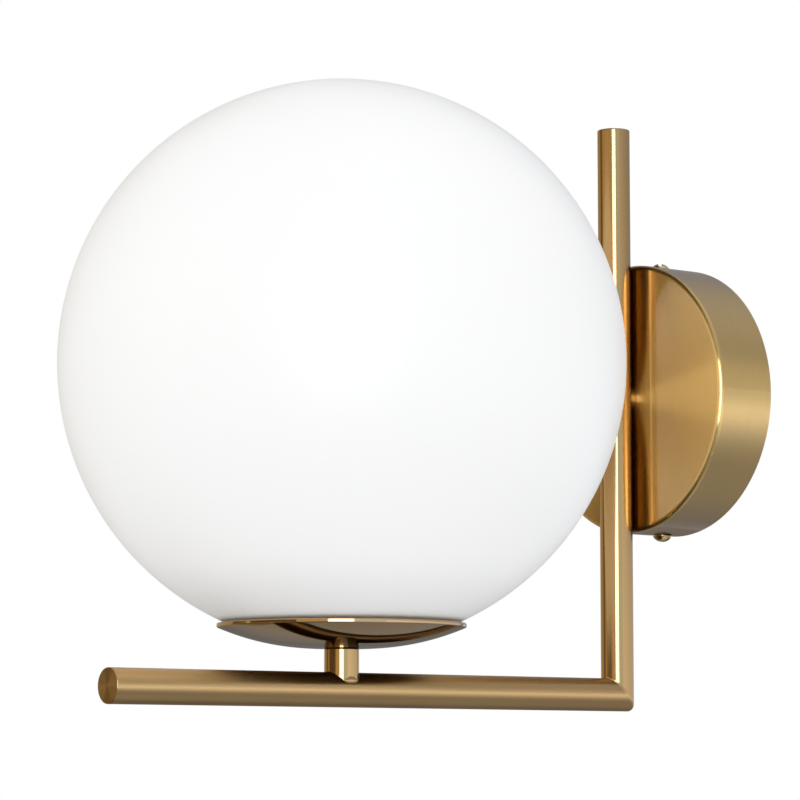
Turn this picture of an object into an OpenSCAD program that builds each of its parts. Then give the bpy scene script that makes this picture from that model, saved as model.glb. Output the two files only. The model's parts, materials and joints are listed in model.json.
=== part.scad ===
// Globe wall lamp: a round canopy carries an L of tube, and the arm of the L carries an opal glass globe.
// Origin: centre of the canopy on the wall. +Z is up and -Y points out of the wall into the room.

/* [Canopy] */
// Outside diameter of the round canopy
canopy_d = 100; // [96:1:140]
// Depth of the canopy from the wall to its face
canopy_depth = 25; // [25:0.5:40]
// Thickness of the canopy's pressed brass
canopy_wall = 1.2; // [0.8:0.1:1.6]
// Inside radius of the bend between the canopy's face and side
canopy_bend_r = 0.8; // [0.4:0.1:3]
// Distance of the canopy's side screws from the wall
side_screw_inset = 8.5; // [7:0.5:11]

/* [Tube frame] */
// Outside diameter of the frame's tube
tube_d = 12; // [11.6:0.1:14]
// Wall thickness of the frame's tube
tube_wall = 1; // [0.8:0.1:1.2]
// Clear gap between the upright tube and the canopy's face
tube_gap = 0.3; // [0.2:0.1:4]
// Height of the canopy's centre over the arm's centre line
canopy_rise = 109.5; // [80:0.5:130]
// Height of the upright's top over the arm's centre line
upright_rise = 210; // [150:1:260]
// Reach of the arm's tip from the upright's centre line
arm_reach = 221; // [180:1:240]
// Reach of the globe's axis from the upright's centre line
globe_reach = 126; // [112:1:150]
// Rounding of the outer corner of the mitred joint
corner_r = 1.5; // [0.5:0.1:3]
// Thickness of the end plugs' flanges
plug_flange = 0.8; // [0.5:0.1:1.5]
// Length of the end plugs' spigots
plug_depth = 6; // [3:0.5:12]
// Rounding of the end plugs' outer edge
plug_edge_r = 0.3; // [0.1:0.1:0.4]

/* [Stem and dish] */
// Clear height of the stem between the arm and the dish
stem_height = 8.2; // [7:0.1:20]
// Rounding of the stem's two shoulders where it saddles the arm
shoulder_r = 3; // [1:0.1:4]
// Height of the shoulders' foot over the arm's centre line
shoulder_rise = 2.2; // [1:0.1:3]
// Chamfer round the stem's top, which leaves a seam under the dish
seam_chamfer = 0.4; // [0.2:0.1:0.6]
// Outside diameter of the dish's lip
dish_d = 86; // [84:0.5:110]
// Height of the dish from its underside to the top of its lip
dish_height = 8.6; // [8:0.1:12]
// Height of the dish's upright lip
lip_height = 1.4; // [0.8:0.1:3]
// Thickness of the dish's spun brass
dish_wall = 1; // [0.8:0.1:1.4]
// Diameter of the dish's flat middle
dish_flat_d = 16; // [16:0.5:24]

/* [Globe] */
// Outside diameter of the glass globe
globe_d = 197; // [170:1:200]
// Thickness of the globe's glass
glass_wall = 3; // [2:0.1:4]
// Diameter of the globe's mouth
mouth_d = 68; // [67:0.5:70]
// Thickness of the silicone gasket under the globe
gasket_t = 1.2; // [0.8:0.1:2]
// Width of the silicone gasket
gasket_w = 3; // [2:0.1:4]
// Gap between the globe and its gasket
gasket_gap = 0.3; // [0.2:0.05:0.5]
// Thickness of the aluminium ring cemented into the mouth
ring_wall = 3; // [2:0.1:3.2]
// Height of the aluminium ring
ring_height = 7.5; // [6:0.1:10]
// Thickness of the gallery's spun steel
gallery_wall = 1; // [0.8:0.1:1.2]
// Height of the gallery's upright wall
gallery_height = 9; // [7:0.1:11]
// Gap between the globe's ring and the gallery
ring_gap = 0.2; // [0.15:0.05:0.3]

/* [Lampholder] */
// Outside diameter of the porcelain lampholder
holder_d = 40; // [39:0.5:44]
// Thickness of the lampholder's porcelain
holder_wall = 2.4; // [1.8:0.1:2.6]
// Height of the lampholder's cup
cup_height = 15; // [14:0.5:20]
// Height of the lampholder's skirt
skirt_height = 27; // [25:0.5:32]
// Thickness of the insert that carries the contacts
insert_t = 5; // [4:0.1:6]
// Height of the threaded sleeve
sleeve_height = 21; // [18:0.5:22]
// Thickness of the threaded sleeve
sleeve_t = 0.5; // [0.3:0.1:0.6]
// Height of the centre contact's spring over the insert
contact_rise = 3.5; // [2.5:0.1:5]

/* [Bulb] */
// Diameter of the bulb's dome
bulb_d = 55; // [45:1:58]
// Length of the bulb from its contact to the top of its dome
bulb_l = 100; // [90:1:115]
// Diameter of the bulb's screw cap
cap_d = 26.2; // [26:0.1:26.4]
// Radial clearance of the screw cap in the sleeve
cap_fit = 0.1; // [0.05:0.01:0.1]
// Gap between the bulb's contact and the centre contact
contact_gap = 0.3; // [0.2:0.05:0.5]
// Wall of the bulb's dome
dome_wall = 1.2; // [0.8:0.1:2]

/* [Wall bracket] */
// Thickness of the bracket's steel
bracket_t = 1.5; // [1.2:0.1:2]
// Width of the bracket's upright strip and ears
strip_w = 16; // [14:0.5:20]
// Width of the bracket across its side arms
cross_w = 84; // [84:1:88]
// Height of the bracket's side arms
cross_h = 18; // [17:0.5:20]
// Distance between the centres of the wall slots
slot_pitch = 56; // [54:0.5:60]
// Width of the wall slots
slot_w = 4.5; // [4:0.1:5.5]
// Length of the wall slots from end to end
slot_l = 16; // [8:0.5:17]
// Diameter of the hole for the house cable
cable_d = 10; // [6:0.5:11]
// Gap between the bracket's ears and the canopy
ear_gap = 0.3; // [0.2:0.05:0.8]

/* [Fasteners] */
// Shank diameter of the canopy and earth screws
screw_d = 4; // [3:0.5:4]
// Head diameter of the canopy and earth screws
head_d = 7.2; // [6:0.1:8]
// Head height of the canopy and earth screws
head_h = 2.2; // [1.5:0.1:3]
// Length of the canopy screws under the head
screw_l = 8; // [7:0.5:12]
// Outside diameter of the threaded tube at the canopy
mount_tube_d = 8; // [7.6:0.1:8.4]
// Bore of the threaded tube at the canopy
mount_bore_d = 5.6; // [5.4:0.1:6]
// Outside diameter of the threaded tube in the stem
stem_tube_d = 9.9; // [9:0.1:9.9]
// Bore of the threaded tube in the stem
stem_bore_d = 7; // [6:0.1:7.5]
// Thickness of the hexagon nuts
nut_h = 3; // [2:0.1:4]
// Thickness of the toothed washers
washer_t = 0.8; // [0.5:0.1:1]
// Radial clearance of pieces that fit inside each other
fit = 0.05; // [0.03:0.01:0.08]

/* [Wiring] */
// Diameter of the leads over their insulation
lead_d = 2; // [1.6:0.1:2]
// Distance between the live and the neutral lead in the tubes
lead_pitch = 2.4; // [2.2:0.1:2.6]
// Bend radius of the leads
lead_bend_r = 3; // [2:0.1:3]
// Distance between the poles of the terminal block
pole_pitch = 10; // [9.6:0.1:10.5]
// Depth of the terminal block off the bracket
block_depth = 12; // [11:0.5:14]
// Height of the terminal block
block_h = 16; // [15:0.5:17]

/* [Hidden] */
$fn = 96;

// Extra length by which a cutter passes the faces that it cuts
over = 1;
// Length by which shapes of one piece run into each other
lap = 0.1;

// Frame
canopy_r = canopy_d / 2;
tube_r = tube_d / 2;
tube_bore_r = tube_r - tube_wall;
upright_y = -(canopy_depth + tube_gap + tube_r);
arm_z = -canopy_rise;
upright_top = arm_z + upright_rise;
arm_tip = upright_y - arm_reach;
globe_y = upright_y - globe_reach;

// Dish: a flat middle, then an arc that rises to the foot of the lip
dish_r = dish_d / 2;
dish_flat_r = dish_flat_d / 2;
dish_z = arm_z + tube_r + stem_height;
dish_side_h = dish_height - lip_height;
dish_side_w = dish_r - dish_flat_r;
dish_arc_r = (dish_side_w ^ 2 + dish_side_h ^ 2) / (2 * dish_side_h);
// Height of the dish's inner face at a distance from its axis
function dish_floor(r) =
  dish_z + dish_arc_r - sqrt((dish_arc_r - dish_wall) ^ 2 - max(r - dish_flat_r, 0) ^ 2);

// Globe, its ring and the gallery that the ring sits on
globe_r = globe_d / 2;
mouth_r = mouth_d / 2;
ring_r = mouth_r - fit;
gallery_r = ring_r - ring_wall - ring_gap;
gasket_inset = 1;
gasket_inner_r = mouth_r + gasket_inset;
gasket_outer_r = gasket_inner_r + gasket_w;
globe_z = dish_floor(gasket_outer_r) + gasket_t + gasket_gap + sqrt(globe_r ^ 2 - gasket_outer_r ^ 2);
gallery_z = max(dish_z + dish_wall + nut_h, dish_floor(gallery_r) + fit);
gallery_floor = gallery_z + gallery_wall;
ring_lift = 1.6;
ring_z = gallery_z + ring_lift;
ring_flange = 1.6;
ring_step = 0.6;
gallery_bend_r = 1.5;

// Lampholder, stacked up from the gallery's floor
holder_r = holder_d / 2;
holder_cavity_r = holder_r - holder_wall;
cup_floor = 3.2;
cup_round_r = 6;
insert_drop = 2;
insert_z = gallery_floor + cup_height - insert_drop;
insert_top = insert_z + insert_t;
skirt_z = gallery_floor + cup_height;
skirt_lip = 3;
skirt_round_r = 1.2;
lip_gap = 1;
sleeve_r = cap_d / 2 + cap_fit;
contact_w = 5;
contact_t = 0.5;
contact_foot = 6;
stem_tube_rise = 0.6;
stem_tube_top = gallery_floor + cup_floor + stem_tube_rise;
stem_tube_foot = 1.2;
terminal_x = 7;

// Bulb, from its contact upwards
bulb_z = insert_top + contact_rise + contact_gap;
bulb_r = bulb_d / 2;
cap_r = cap_d / 2;
contact_r = 4.6;
contact_h = 1.2;
contact_round_r = contact_h / 2;
insulator_step = 0.6;
insulator_h = 4;
cap_foot_r = cap_r - 3;
cap_taper_h = 2.5;
cap_l = 27;
neck_step = 0.3;
cap_z = bulb_z + contact_h + insulator_h;
cap_top = bulb_z + cap_l;
neck_r = cap_r + neck_step;
shoulder_z = bulb_z + bulb_l - bulb_r;
collar_h = 4;

// Wall bracket
ear_z = sqrt((canopy_r - canopy_wall - ear_gap) ^ 2 - (strip_w / 2) ^ 2);
ear_margin = 5.5;
ear_depth = side_screw_inset + ear_margin;
ear_corner_r = 3;
ear_bend_r = 1;
cable_z = -13;
earth_x = 24;
plate_corner_r = 3;
tapped_r = screw_d / 2 + fit;

// Fasteners
screw_r = screw_d / 2;
head_r = head_d / 2;
head_gap = 0.2;
drive_w = 1.4;
drive_depth = 1.3;
top_screw_turn = -38;
bottom_screw_turn = 25;
earth_screw_turn = 50;
mount_tube_r = mount_tube_d / 2;
mount_tube_rise = 3.4;
mount_tube_end = -(canopy_depth - canopy_wall - washer_t - nut_h - mount_tube_rise);
collar_r = 4.8;
nut_chamfer_angle = 30;
mount_nut_flat = 11;
dish_nut_flat = 14;
washer_r = 7;
tooth_count = 12;
tooth_r = 0.7;
bush_flange = 0.8;
bush_depth = 5;
bush_lead_gap = 0.1;

// Terminal block on the bracket's left arm
block_x = -25;
block_w = 3 * pole_pitch;
block_slab = 7;
barrel_w = 6;
pole_depth = 6.5;
pole_y = -(bracket_t + pole_depth);
pole_r = 2;
pole_gap = 0.3;
pole_bore_r = lead_d / 2 + pole_gap;
sleeve_inset = 1;
clamp_r = 1.25;
clamp_hole_r = 1.7;
clamp_slot_w = 0.5;
clamp_slot_h = 0.7;
clamp_z = 4.2;
clamp_l = 4;
block_screw_r = 1.25;
block_head_r = 2.2;
block_head_h = 1.6;
block_head_gap = 0.1;

// Routes of the leads, each a list of corners
lead_r = lead_d / 2;
side_x = lead_pitch / 2;
lead_grip = 5;
lead_start_z = block_h / 2 - lead_grip;
live_turn_z = 12;
neutral_turn_z = 16;
earth_turn_z = 20;
earth_drop_z = 14;
stem_exit_z = gallery_floor + 4.5;
spread_z = gallery_floor + 9;
frame_route = [[0, pole_y, 0], [0, upright_y, 0], [0, upright_y, arm_z], [0, globe_y, arm_z]];
live_route = concat(
  [[block_x + pole_pitch, pole_y, lead_start_z], [block_x + pole_pitch, pole_y, live_turn_z]],
  [[-side_x, pole_y, live_turn_z]],
  [for (p = frame_route) p - [side_x, 0, 0]],
  [[-side_x, globe_y, stem_exit_z], [-terminal_x, globe_y, spread_z], [-terminal_x, globe_y, insert_z]]
);
neutral_route = concat(
  [[block_x, pole_y, lead_start_z], [block_x, pole_y, neutral_turn_z], [side_x, pole_y, neutral_turn_z]],
  [for (p = frame_route) p + [side_x, 0, 0]],
  [[side_x, globe_y, stem_exit_z], [terminal_x, globe_y, spread_z], [terminal_x, globe_y, insert_z]]
);
tag_t = 0.8;
tag_r = 4;
tag_z = 5;
tag_l = 5;
tag_barrel_r = 1.5;
tag_bore_r = 0.6;
tag_neck = 0.6;
tag_y = -(bracket_t + tag_barrel_r);
earth_route = [
  [block_x - pole_pitch, pole_y, lead_start_z],
  [block_x - pole_pitch, pole_y, earth_turn_z],
  [earth_x, pole_y, earth_turn_z],
  [earth_x, tag_y, earth_drop_z],
  [earth_x, tag_y, tag_z + tag_l]
];

// Colours
brushed_brass = [0.66, 0.52, 0.30];
polished_brass = [0.62, 0.46, 0.25];
opal_white = [0.96, 0.96, 0.95];
porcelain = [0.93, 0.92, 0.88];
zinc = [0.72, 0.73, 0.75];

// Turns a piece so that its own +Z points out of the wall
module outward() {
  rotate([90, 0, 0]) children();
}

// Turns a section drawn as (y, z) into a bar centred across the lamp
module across(width) {
  translate([-width / 2, 0, 0]) rotate([90, 0, 90]) linear_extrude(width) children();
}

// Half section from the axis, with its far upper corner rounded
module soft_block(w, h, r) {
  square([w, h - r]);
  square([w - r, h]);
  translate([w - r, h - r]) circle(r);
}

// Flat rectangle with four round corners
module soft_rectangle(w, h, r) {
  square([w - 2 * r, h], center = true);
  square([w, h - 2 * r], center = true);
  for (x = [-1, 1], y = [-1, 1]) translate([x * (w / 2 - r), y * (h / 2 - r)]) circle(r);
}

// Tube standing on its end
module pipe(outer_r, inner_r, h) {
  difference() {
    cylinder(r = outer_r, h = h);
    translate([0, 0, -over]) cylinder(r = inner_r, h = h + 2 * over);
  }
}

// Hexagon nut standing on its face, measured across its flats, with its upper corners turned down
module hex_nut(flat, bore_r) {
  corner_w = flat / sqrt(3);
  turned_w = flat / 2;
  difference() {
    cylinder(r = corner_w, h = nut_h, $fn = 6);
    translate([0, 0, -over]) cylinder(r = bore_r, h = nut_h + 2 * over);
    rotate_extrude() polygon([
      [turned_w, nut_h], [turned_w, nut_h + over], [corner_w + over, nut_h + over],
      [corner_w + over, nut_h - (corner_w + over - turned_w) * tan(nut_chamfer_angle)]
    ]);
  }
}

// Washer with a ring of teeth cut in its edge
module toothed_washer(outer_r, inner_r) {
  difference() {
    pipe(outer_r, inner_r, washer_t);
    for (i = [0 : tooth_count - 1])
      rotate(i * 360 / tooth_count) translate([outer_r, 0, -over])
        cylinder(r = tooth_r, h = washer_t + 2 * over);
  }
}

// Domed screw with a slot across its head, which stands on z = 0 with its shank below
module domed_screw(length, slot_turn) {
  dome_r = (head_r ^ 2 + head_h ^ 2) / (2 * head_h);
  difference() {
    intersection() {
      translate([0, 0, head_h - dome_r]) sphere(dome_r);
      cylinder(r = head_r, h = head_h);
    }
    rotate(slot_turn) translate([-head_r - over, -drive_w / 2, head_h - drive_depth])
      cube([2 * (head_r + over), drive_w, head_h]);
  }
  translate([0, 0, -length]) cylinder(r = screw_r, h = length + lap);
}

// Plug that closes a tube's end: its spigot hangs below z = 0
module tube_plug() {
  rotate_extrude() soft_block(tube_r, plug_flange, plug_edge_r);
  translate([0, 0, -plug_depth]) cylinder(r = tube_bore_r - fit, h = plug_depth + lap);
}

// Wall bracket

module ear_section() {
  bend = bracket_t + ear_bend_r;
  translate([-ear_depth, -ear_z]) square([ear_depth - bend, 2 * ear_z]);
  translate([-ear_depth, -(ear_z - bend)]) square([ear_depth, 2 * (ear_z - bend)]);
  for (side = [-1, 1]) translate([-bend, side * (ear_z - bend)]) circle(bend);
}

module ear_hollow() {
  inner_z = ear_z - bracket_t;
  floor_z = inner_z - ear_bend_r;
  reach = 2 * ear_depth;
  translate([-reach, -inner_z]) square([reach - bracket_t - ear_bend_r, 2 * inner_z]);
  translate([-reach, -floor_z]) square([reach - bracket_t, 2 * floor_z]);
  for (side = [-1, 1]) translate([-bracket_t - ear_bend_r, side * floor_z]) circle(ear_bend_r);
}

module ear_strip() {
  intersection() {
    across(strip_w) difference() {
      ear_section();
      ear_hollow();
    }
    translate([0, 0, -ear_z]) linear_extrude(2 * ear_z) {
      translate([-strip_w / 2, -ear_depth + ear_corner_r]) square([strip_w, ear_depth - ear_corner_r]);
      translate([-strip_w / 2 + ear_corner_r, -ear_depth]) square([strip_w - 2 * ear_corner_r, ear_depth]);
      for (side = [-1, 1])
        translate([side * (strip_w / 2 - ear_corner_r), -ear_depth + ear_corner_r]) circle(ear_corner_r);
    }
  }
}

module wall_slot() {
  straight = slot_l - slot_w;
  for (end = [-1, 1]) translate([0, end * straight / 2, -over])
    cylinder(r = slot_w / 2, h = bracket_t + 2 * over);
  translate([-slot_w / 2, -straight / 2, -over]) cube([slot_w, straight, bracket_t + 2 * over]);
}

module wall_bracket() {
  color(zinc) difference() {
    union() {
      ear_strip();
      outward() linear_extrude(bracket_t) soft_rectangle(cross_w, cross_h, plate_corner_r);
    }
    outward() {
      for (side = [-1, 1]) translate([0, side * slot_pitch / 2, 0]) wall_slot();
      translate([0, cable_z, -over]) cylinder(d = cable_d, h = bracket_t + 2 * over);
      translate([earth_x, 0, -over]) cylinder(r = tapped_r, h = bracket_t + 2 * over);
      for (side = [-1, 1]) translate([block_x + side * pole_pitch / 2, 0, -over])
        cylinder(r = block_screw_r + fit, h = bracket_t + 2 * over);
    }
    translate([0, -side_screw_inset, -ear_z - over]) cylinder(r = tapped_r, h = 2 * (ear_z + over));
  }
}

// Earthing

module earth_tag() {
  color([0.80, 0.78, 0.72]) {
    translate([earth_x, -bracket_t, 0]) outward() pipe(tag_r, tapped_r, tag_t);
    translate([earth_x, tag_y, tag_z]) pipe(tag_barrel_r, tag_bore_r, tag_l);
    translate([earth_x - tag_barrel_r, -bracket_t - tag_t, tag_r - tag_neck])
      cube([2 * tag_barrel_r, tag_t, tag_z - tag_r + 2 * tag_neck]);
  }
}

module earth_washer() {
  color(zinc) translate([earth_x, -(bracket_t + tag_t), 0]) outward() toothed_washer(tag_r, tapped_r);
}

module earth_screw() {
  stack = bracket_t + tag_t + washer_t;
  color([0.75, 0.62, 0.32]) translate([earth_x, -stack, 0]) outward()
    domed_screw(stack, earth_screw_turn);
}

// Terminal block

module each_pole() {
  for (i = [-1 : 1]) translate([block_x + i * pole_pitch, 0, 0]) children();
}

module each_clamp() {
  each_pole() for (side = [-1, 1]) translate([0, 0, side * clamp_z]) children();
}

module terminal_block() {
  color([0.90, 0.90, 0.87]) difference() {
    union() {
      translate([block_x - block_w / 2, -(bracket_t + block_slab), -block_h / 2])
        cube([block_w, block_slab, block_h]);
      each_pole() translate([0, -bracket_t, -block_h / 2]) linear_extrude(block_h) {
        translate([-barrel_w / 2, barrel_w / 2 - block_depth]) square([barrel_w, block_depth - barrel_w / 2]);
        translate([0, barrel_w / 2 - block_depth]) circle(d = barrel_w);
      }
    }
    each_pole() translate([0, pole_y, -block_h]) cylinder(r = pole_r + fit, h = 2 * block_h);
    each_clamp() translate([0, pole_y, 0]) outward() cylinder(r = clamp_hole_r, h = block_depth);
    for (side = [-1, 1]) translate([block_x + side * pole_pitch / 2, 0, 0]) outward() {
      cylinder(r = block_screw_r + fit, h = block_depth + bracket_t);
      translate([0, 0, bracket_t + block_slab - block_head_h])
        cylinder(r = block_head_r + block_head_gap, h = block_depth);
    }
  }
}

module terminal_sleeves() {
  sleeve_l = block_h - 2 * sleeve_inset;
  color([0.78, 0.68, 0.40]) difference() {
    each_pole() translate([0, pole_y, -sleeve_l / 2]) pipe(pole_r, pole_bore_r, sleeve_l);
    each_clamp() translate([0, pole_y, 0]) outward() cylinder(r = clamp_r + fit, h = block_depth);
  }
}

module terminal_screws() {
  color(zinc) each_clamp() translate([0, pole_y - lead_r - fit, 0]) outward() difference() {
    cylinder(r = clamp_r, h = clamp_l);
    translate([-clamp_r, -clamp_slot_w / 2, clamp_l - clamp_slot_h])
      cube([2 * clamp_r, clamp_slot_w, clamp_slot_h + over]);
  }
}

module block_screws() {
  color(zinc) for (side = [-1, 1]) translate([block_x + side * pole_pitch / 2, 0, 0]) outward() {
    cylinder(r = block_screw_r, h = bracket_t + block_slab - block_head_h + lap);
    translate([0, 0, bracket_t + block_slab - block_head_h]) cylinder(r = block_head_r, h = block_head_h);
  }
}

// Canopy

module canopy() {
  color(brushed_brass) difference() {
    outward() rotate_extrude() difference() {
      soft_block(canopy_r, canopy_depth, canopy_bend_r + canopy_wall);
      soft_block(canopy_r - canopy_wall, canopy_depth - canopy_wall, canopy_bend_r);
      square([mount_tube_r + fit, canopy_depth + over]);
    }
    translate([0, -side_screw_inset, -canopy_r - over]) cylinder(r = tapped_r, h = 2 * (canopy_r + over));
  }
}

module canopy_screw_top() {
  color(polished_brass) translate([0, -side_screw_inset, canopy_r + head_gap])
    domed_screw(screw_l, top_screw_turn);
}

module canopy_screw_bottom() {
  color(polished_brass) mirror([0, 0, 1])
    translate([0, -side_screw_inset, canopy_r + head_gap]) domed_screw(screw_l, bottom_screw_turn);
}

// Threaded tube that holds the frame to the canopy

module mount_collar() {
  color(brushed_brass) difference() {
    translate([0, -canopy_depth, 0]) outward() pipe(collar_r, mount_tube_r + fit, tube_gap + tube_r);
    translate([0, upright_y, -collar_r - over]) cylinder(r = tube_r, h = 2 * (collar_r + over));
  }
}

module mount_tube() {
  inner_end = upright_y + sqrt(tube_bore_r ^ 2 - mount_tube_r ^ 2) + lap;
  color(zinc) translate([0, mount_tube_end, 0]) outward()
    pipe(mount_tube_r, mount_bore_d / 2, mount_tube_end - inner_end);
}

module mount_washer() {
  color(zinc) translate([0, -(canopy_depth - canopy_wall - washer_t), 0])
    outward() toothed_washer(washer_r, mount_tube_r + fit);
}

module mount_nut() {
  color(zinc) translate([0, -(canopy_depth - canopy_wall - washer_t - nut_h), 0])
    outward() hex_nut(mount_nut_flat, mount_tube_r + fit);
}

module mount_bush() {
  bush_r = mount_bore_d / 2 - fit;
  color([0.92, 0.92, 0.88]) translate([0, mount_tube_end, 0]) outward() difference() {
    union() {
      translate([0, 0, -bush_flange]) cylinder(r = mount_tube_r, h = bush_flange);
      cylinder(r = bush_r, h = bush_depth);
    }
    translate([0, 0, -over - bush_flange])
      cylinder(r = side_x + lead_r + bush_lead_gap, h = bush_depth + bush_flange + 2 * over);
  }
}

// Tube frame

// Everything on the upright's side of the mitre
module upright_side() {
  size = 4 * tube_d;
  translate([0, upright_y, arm_z]) rotate([-45, 0, 0])
    translate([-size / 2, -size / 2, 0]) cube([size, size, size]);
}

// What the rounded corner takes away
module corner_cut() {
  size = 2 * corner_r;
  translate([-tube_d, upright_y + tube_r - corner_r, arm_z - tube_r - corner_r]) difference() {
    cube([2 * tube_d, size, size]);
    translate([-over, 0, size]) rotate([0, 90, 0]) cylinder(r = corner_r, h = 2 * (tube_d + over));
  }
}

module upright_tube() {
  foot = arm_z - tube_d;
  color(brushed_brass) difference() {
    intersection() {
      translate([0, upright_y, foot]) pipe(tube_r, tube_bore_r, upright_top - plug_flange - foot);
      union() {
        upright_side();
        translate([-tube_d, upright_y - tube_d, arm_z + tube_d])
          cube([2 * tube_d, 2 * tube_d, upright_rise]);
      }
    }
    corner_cut();
    translate([0, upright_y, 0]) rotate([-90, 0, 0]) cylinder(r = mount_tube_r + fit, h = tube_d);
  }
}

module arm_tube() {
  tail = upright_y + tube_d;
  color(brushed_brass) difference() {
    translate([0, tail, arm_z]) outward()
      pipe(tube_r, tube_bore_r, tail - arm_tip - plug_flange);
    upright_side();
    corner_cut();
    translate([0, globe_y, arm_z]) cylinder(r = stem_bore_d / 2, h = tube_d);
  }
}

module upright_plug() {
  color(brushed_brass) translate([0, upright_y, upright_top - plug_flange]) tube_plug();
}

module arm_plug() {
  color(brushed_brass) translate([0, arm_tip + plug_flange, arm_z]) outward() tube_plug();
}

// Stem with rounded shoulders, coped to the arm, and a chamfer round its top
module stem() {
  stem_l = dish_z - arm_z;
  color(brushed_brass) translate([0, globe_y, arm_z]) difference() {
    intersection() {
      union() {
        cylinder(r = tube_r, h = stem_l - seam_chamfer);
        translate([0, 0, stem_l - seam_chamfer])
          cylinder(r1 = tube_r, r2 = tube_r - seam_chamfer, h = seam_chamfer);
      }
      translate([0, tube_d, 0]) outward() linear_extrude(2 * tube_d) {
        for (side = [-1, 1])
          translate([side * (tube_r - shoulder_r), shoulder_rise + shoulder_r]) circle(shoulder_r);
        translate([shoulder_r - tube_r, shoulder_rise]) square([2 * (tube_r - shoulder_r), stem_l]);
        translate([-tube_r - over, shoulder_rise + shoulder_r]) square([tube_d + 2 * over, stem_l]);
      }
    }
    translate([0, 0, -over]) cylinder(r = stem_tube_d / 2 + fit, h = stem_l + 2 * over);
    translate([0, tube_d, 0]) outward() cylinder(r = tube_r, h = 2 * tube_d);
  }
}

// Dish and what stands in it

module stem_tube() {
  foot = arm_z + tube_r + stem_tube_foot;
  color(zinc) translate([0, globe_y, foot]) pipe(stem_tube_d / 2, stem_bore_d / 2, stem_tube_top - foot);
}

module dish_section() {
  hole_r = stem_tube_d / 2 + fit;
  translate([hole_r, 0]) square([dish_flat_r - hole_r, dish_wall]);
  intersection() {
    translate([dish_flat_r, dish_arc_r]) difference() {
      circle(dish_arc_r, $fn = 360);
      circle(dish_arc_r - dish_wall, $fn = 360);
    }
    translate([dish_flat_r, 0]) square([dish_side_w, dish_side_h]);
  }
  translate([dish_r - dish_wall, dish_side_h]) square([dish_wall, lip_height - dish_wall / 2]);
  translate([dish_r - dish_wall / 2, dish_height - dish_wall / 2]) circle(dish_wall / 2);
}

module dish() {
  color(polished_brass) translate([0, globe_y, dish_z]) rotate_extrude() dish_section();
}

module dish_nut() {
  color(zinc) translate([0, globe_y, dish_z + dish_wall]) hex_nut(dish_nut_flat, stem_tube_d / 2 + fit);
}

module gallery() {
  hole_r = stem_tube_d / 2 + fit;
  rim = gallery_wall / 2;
  wall_h = gallery_height - rim;
  color(zinc) translate([0, globe_y, gallery_z]) rotate_extrude() {
    difference() {
      translate([0, wall_h]) mirror([0, 1]) soft_block(gallery_r, wall_h, gallery_bend_r);
      translate([0, wall_h + gallery_wall]) mirror([0, 1])
        soft_block(gallery_r - gallery_wall, wall_h, gallery_bend_r - rim);
      square([hole_r, wall_h]);
    }
    translate([gallery_r - rim, wall_h]) circle(rim);
  }
}

module globe_gasket() {
  color([0.85, 0.85, 0.83]) translate([0, globe_y, 0]) rotate_extrude() intersection() {
    translate([gasket_inner_r, dish_z]) square([gasket_w, dish_height]);
    translate([dish_flat_r, dish_z + dish_arc_r]) circle(dish_arc_r - dish_wall, $fn = 360);
    difference() {
      translate([gasket_inner_r, dish_z]) square([gasket_w, dish_height]);
      translate([0, globe_z]) circle(globe_r + gasket_gap, $fn = 360);
    }
  }
}

// Globe

module globe_ring() {
  color([0.80, 0.81, 0.82]) translate([0, globe_y, ring_z]) difference() {
    union() {
      cylinder(r = ring_r, h = ring_height);
      translate([0, 0, ring_height]) cylinder(r = ring_r - ring_step, h = ring_flange);
    }
    translate([0, 0, -over]) cylinder(r = gallery_r + ring_gap, h = ring_height + ring_flange + 2 * over);
  }
}

module globe() {
  color(opal_white) translate([0, globe_y, globe_z]) difference() {
    sphere(globe_r, $fn = 120);
    sphere(globe_r - glass_wall, $fn = 120);
    translate([0, 0, -globe_r - over]) cylinder(r = mouth_r, h = globe_r);
  }
}

// Lampholder

module holder_cup() {
  color(porcelain) translate([0, globe_y, gallery_floor]) rotate_extrude() difference() {
    translate([0, cup_height]) mirror([0, 1]) soft_block(holder_r, cup_height, cup_round_r);
    translate([0, cup_height]) mirror([0, 1])
      soft_block(holder_cavity_r, cup_height - cup_floor, cup_round_r - holder_wall);
    square([stem_tube_d / 2 + fit, cup_height]);
  }
}

module holder_insert() {
  color(porcelain) translate([0, globe_y, insert_z]) cylinder(r = holder_cavity_r - fit, h = insert_t);
}

module holder_skirt() {
  lip_r = neck_r + lip_gap;
  color(porcelain) translate([0, globe_y, skirt_z]) rotate_extrude() difference() {
    soft_block(holder_r, skirt_height, skirt_round_r);
    square([holder_cavity_r, skirt_height - skirt_lip]);
    square([lip_r, skirt_height + over]);
  }
}

module holder_sleeve() {
  color([0.80, 0.66, 0.36]) translate([0, globe_y, insert_top]) {
    pipe(sleeve_r + sleeve_t, sleeve_r, sleeve_height);
    pipe(holder_cavity_r - fit, sleeve_r, sleeve_t);
  }
}

module centre_contact() {
  flat = contact_foot / 3;
  tip = contact_foot * 3 / 4;
  under = contact_rise - contact_t;
  color([0.80, 0.60, 0.38]) translate([0, globe_y, insert_top]) across(contact_w) polygon([
    [-contact_foot, 0], [contact_foot, 0], [contact_foot, contact_t],
    [2 * contact_t - contact_foot, contact_t], [-flat, under], [flat, under],
    [tip, under - flat / 2], [tip, under + contact_t - flat / 2],
    [flat, contact_rise], [-flat - contact_t / 2, contact_rise], [-contact_foot, 2 * contact_t]
  ]);
}

// Bulb

module bulb_contact() {
  color([0.70, 0.70, 0.72]) translate([0, globe_y, bulb_z]) rotate_extrude() mirror([0, 1])
    translate([0, -contact_h]) soft_block(contact_r, contact_h, contact_round_r);
}

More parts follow.
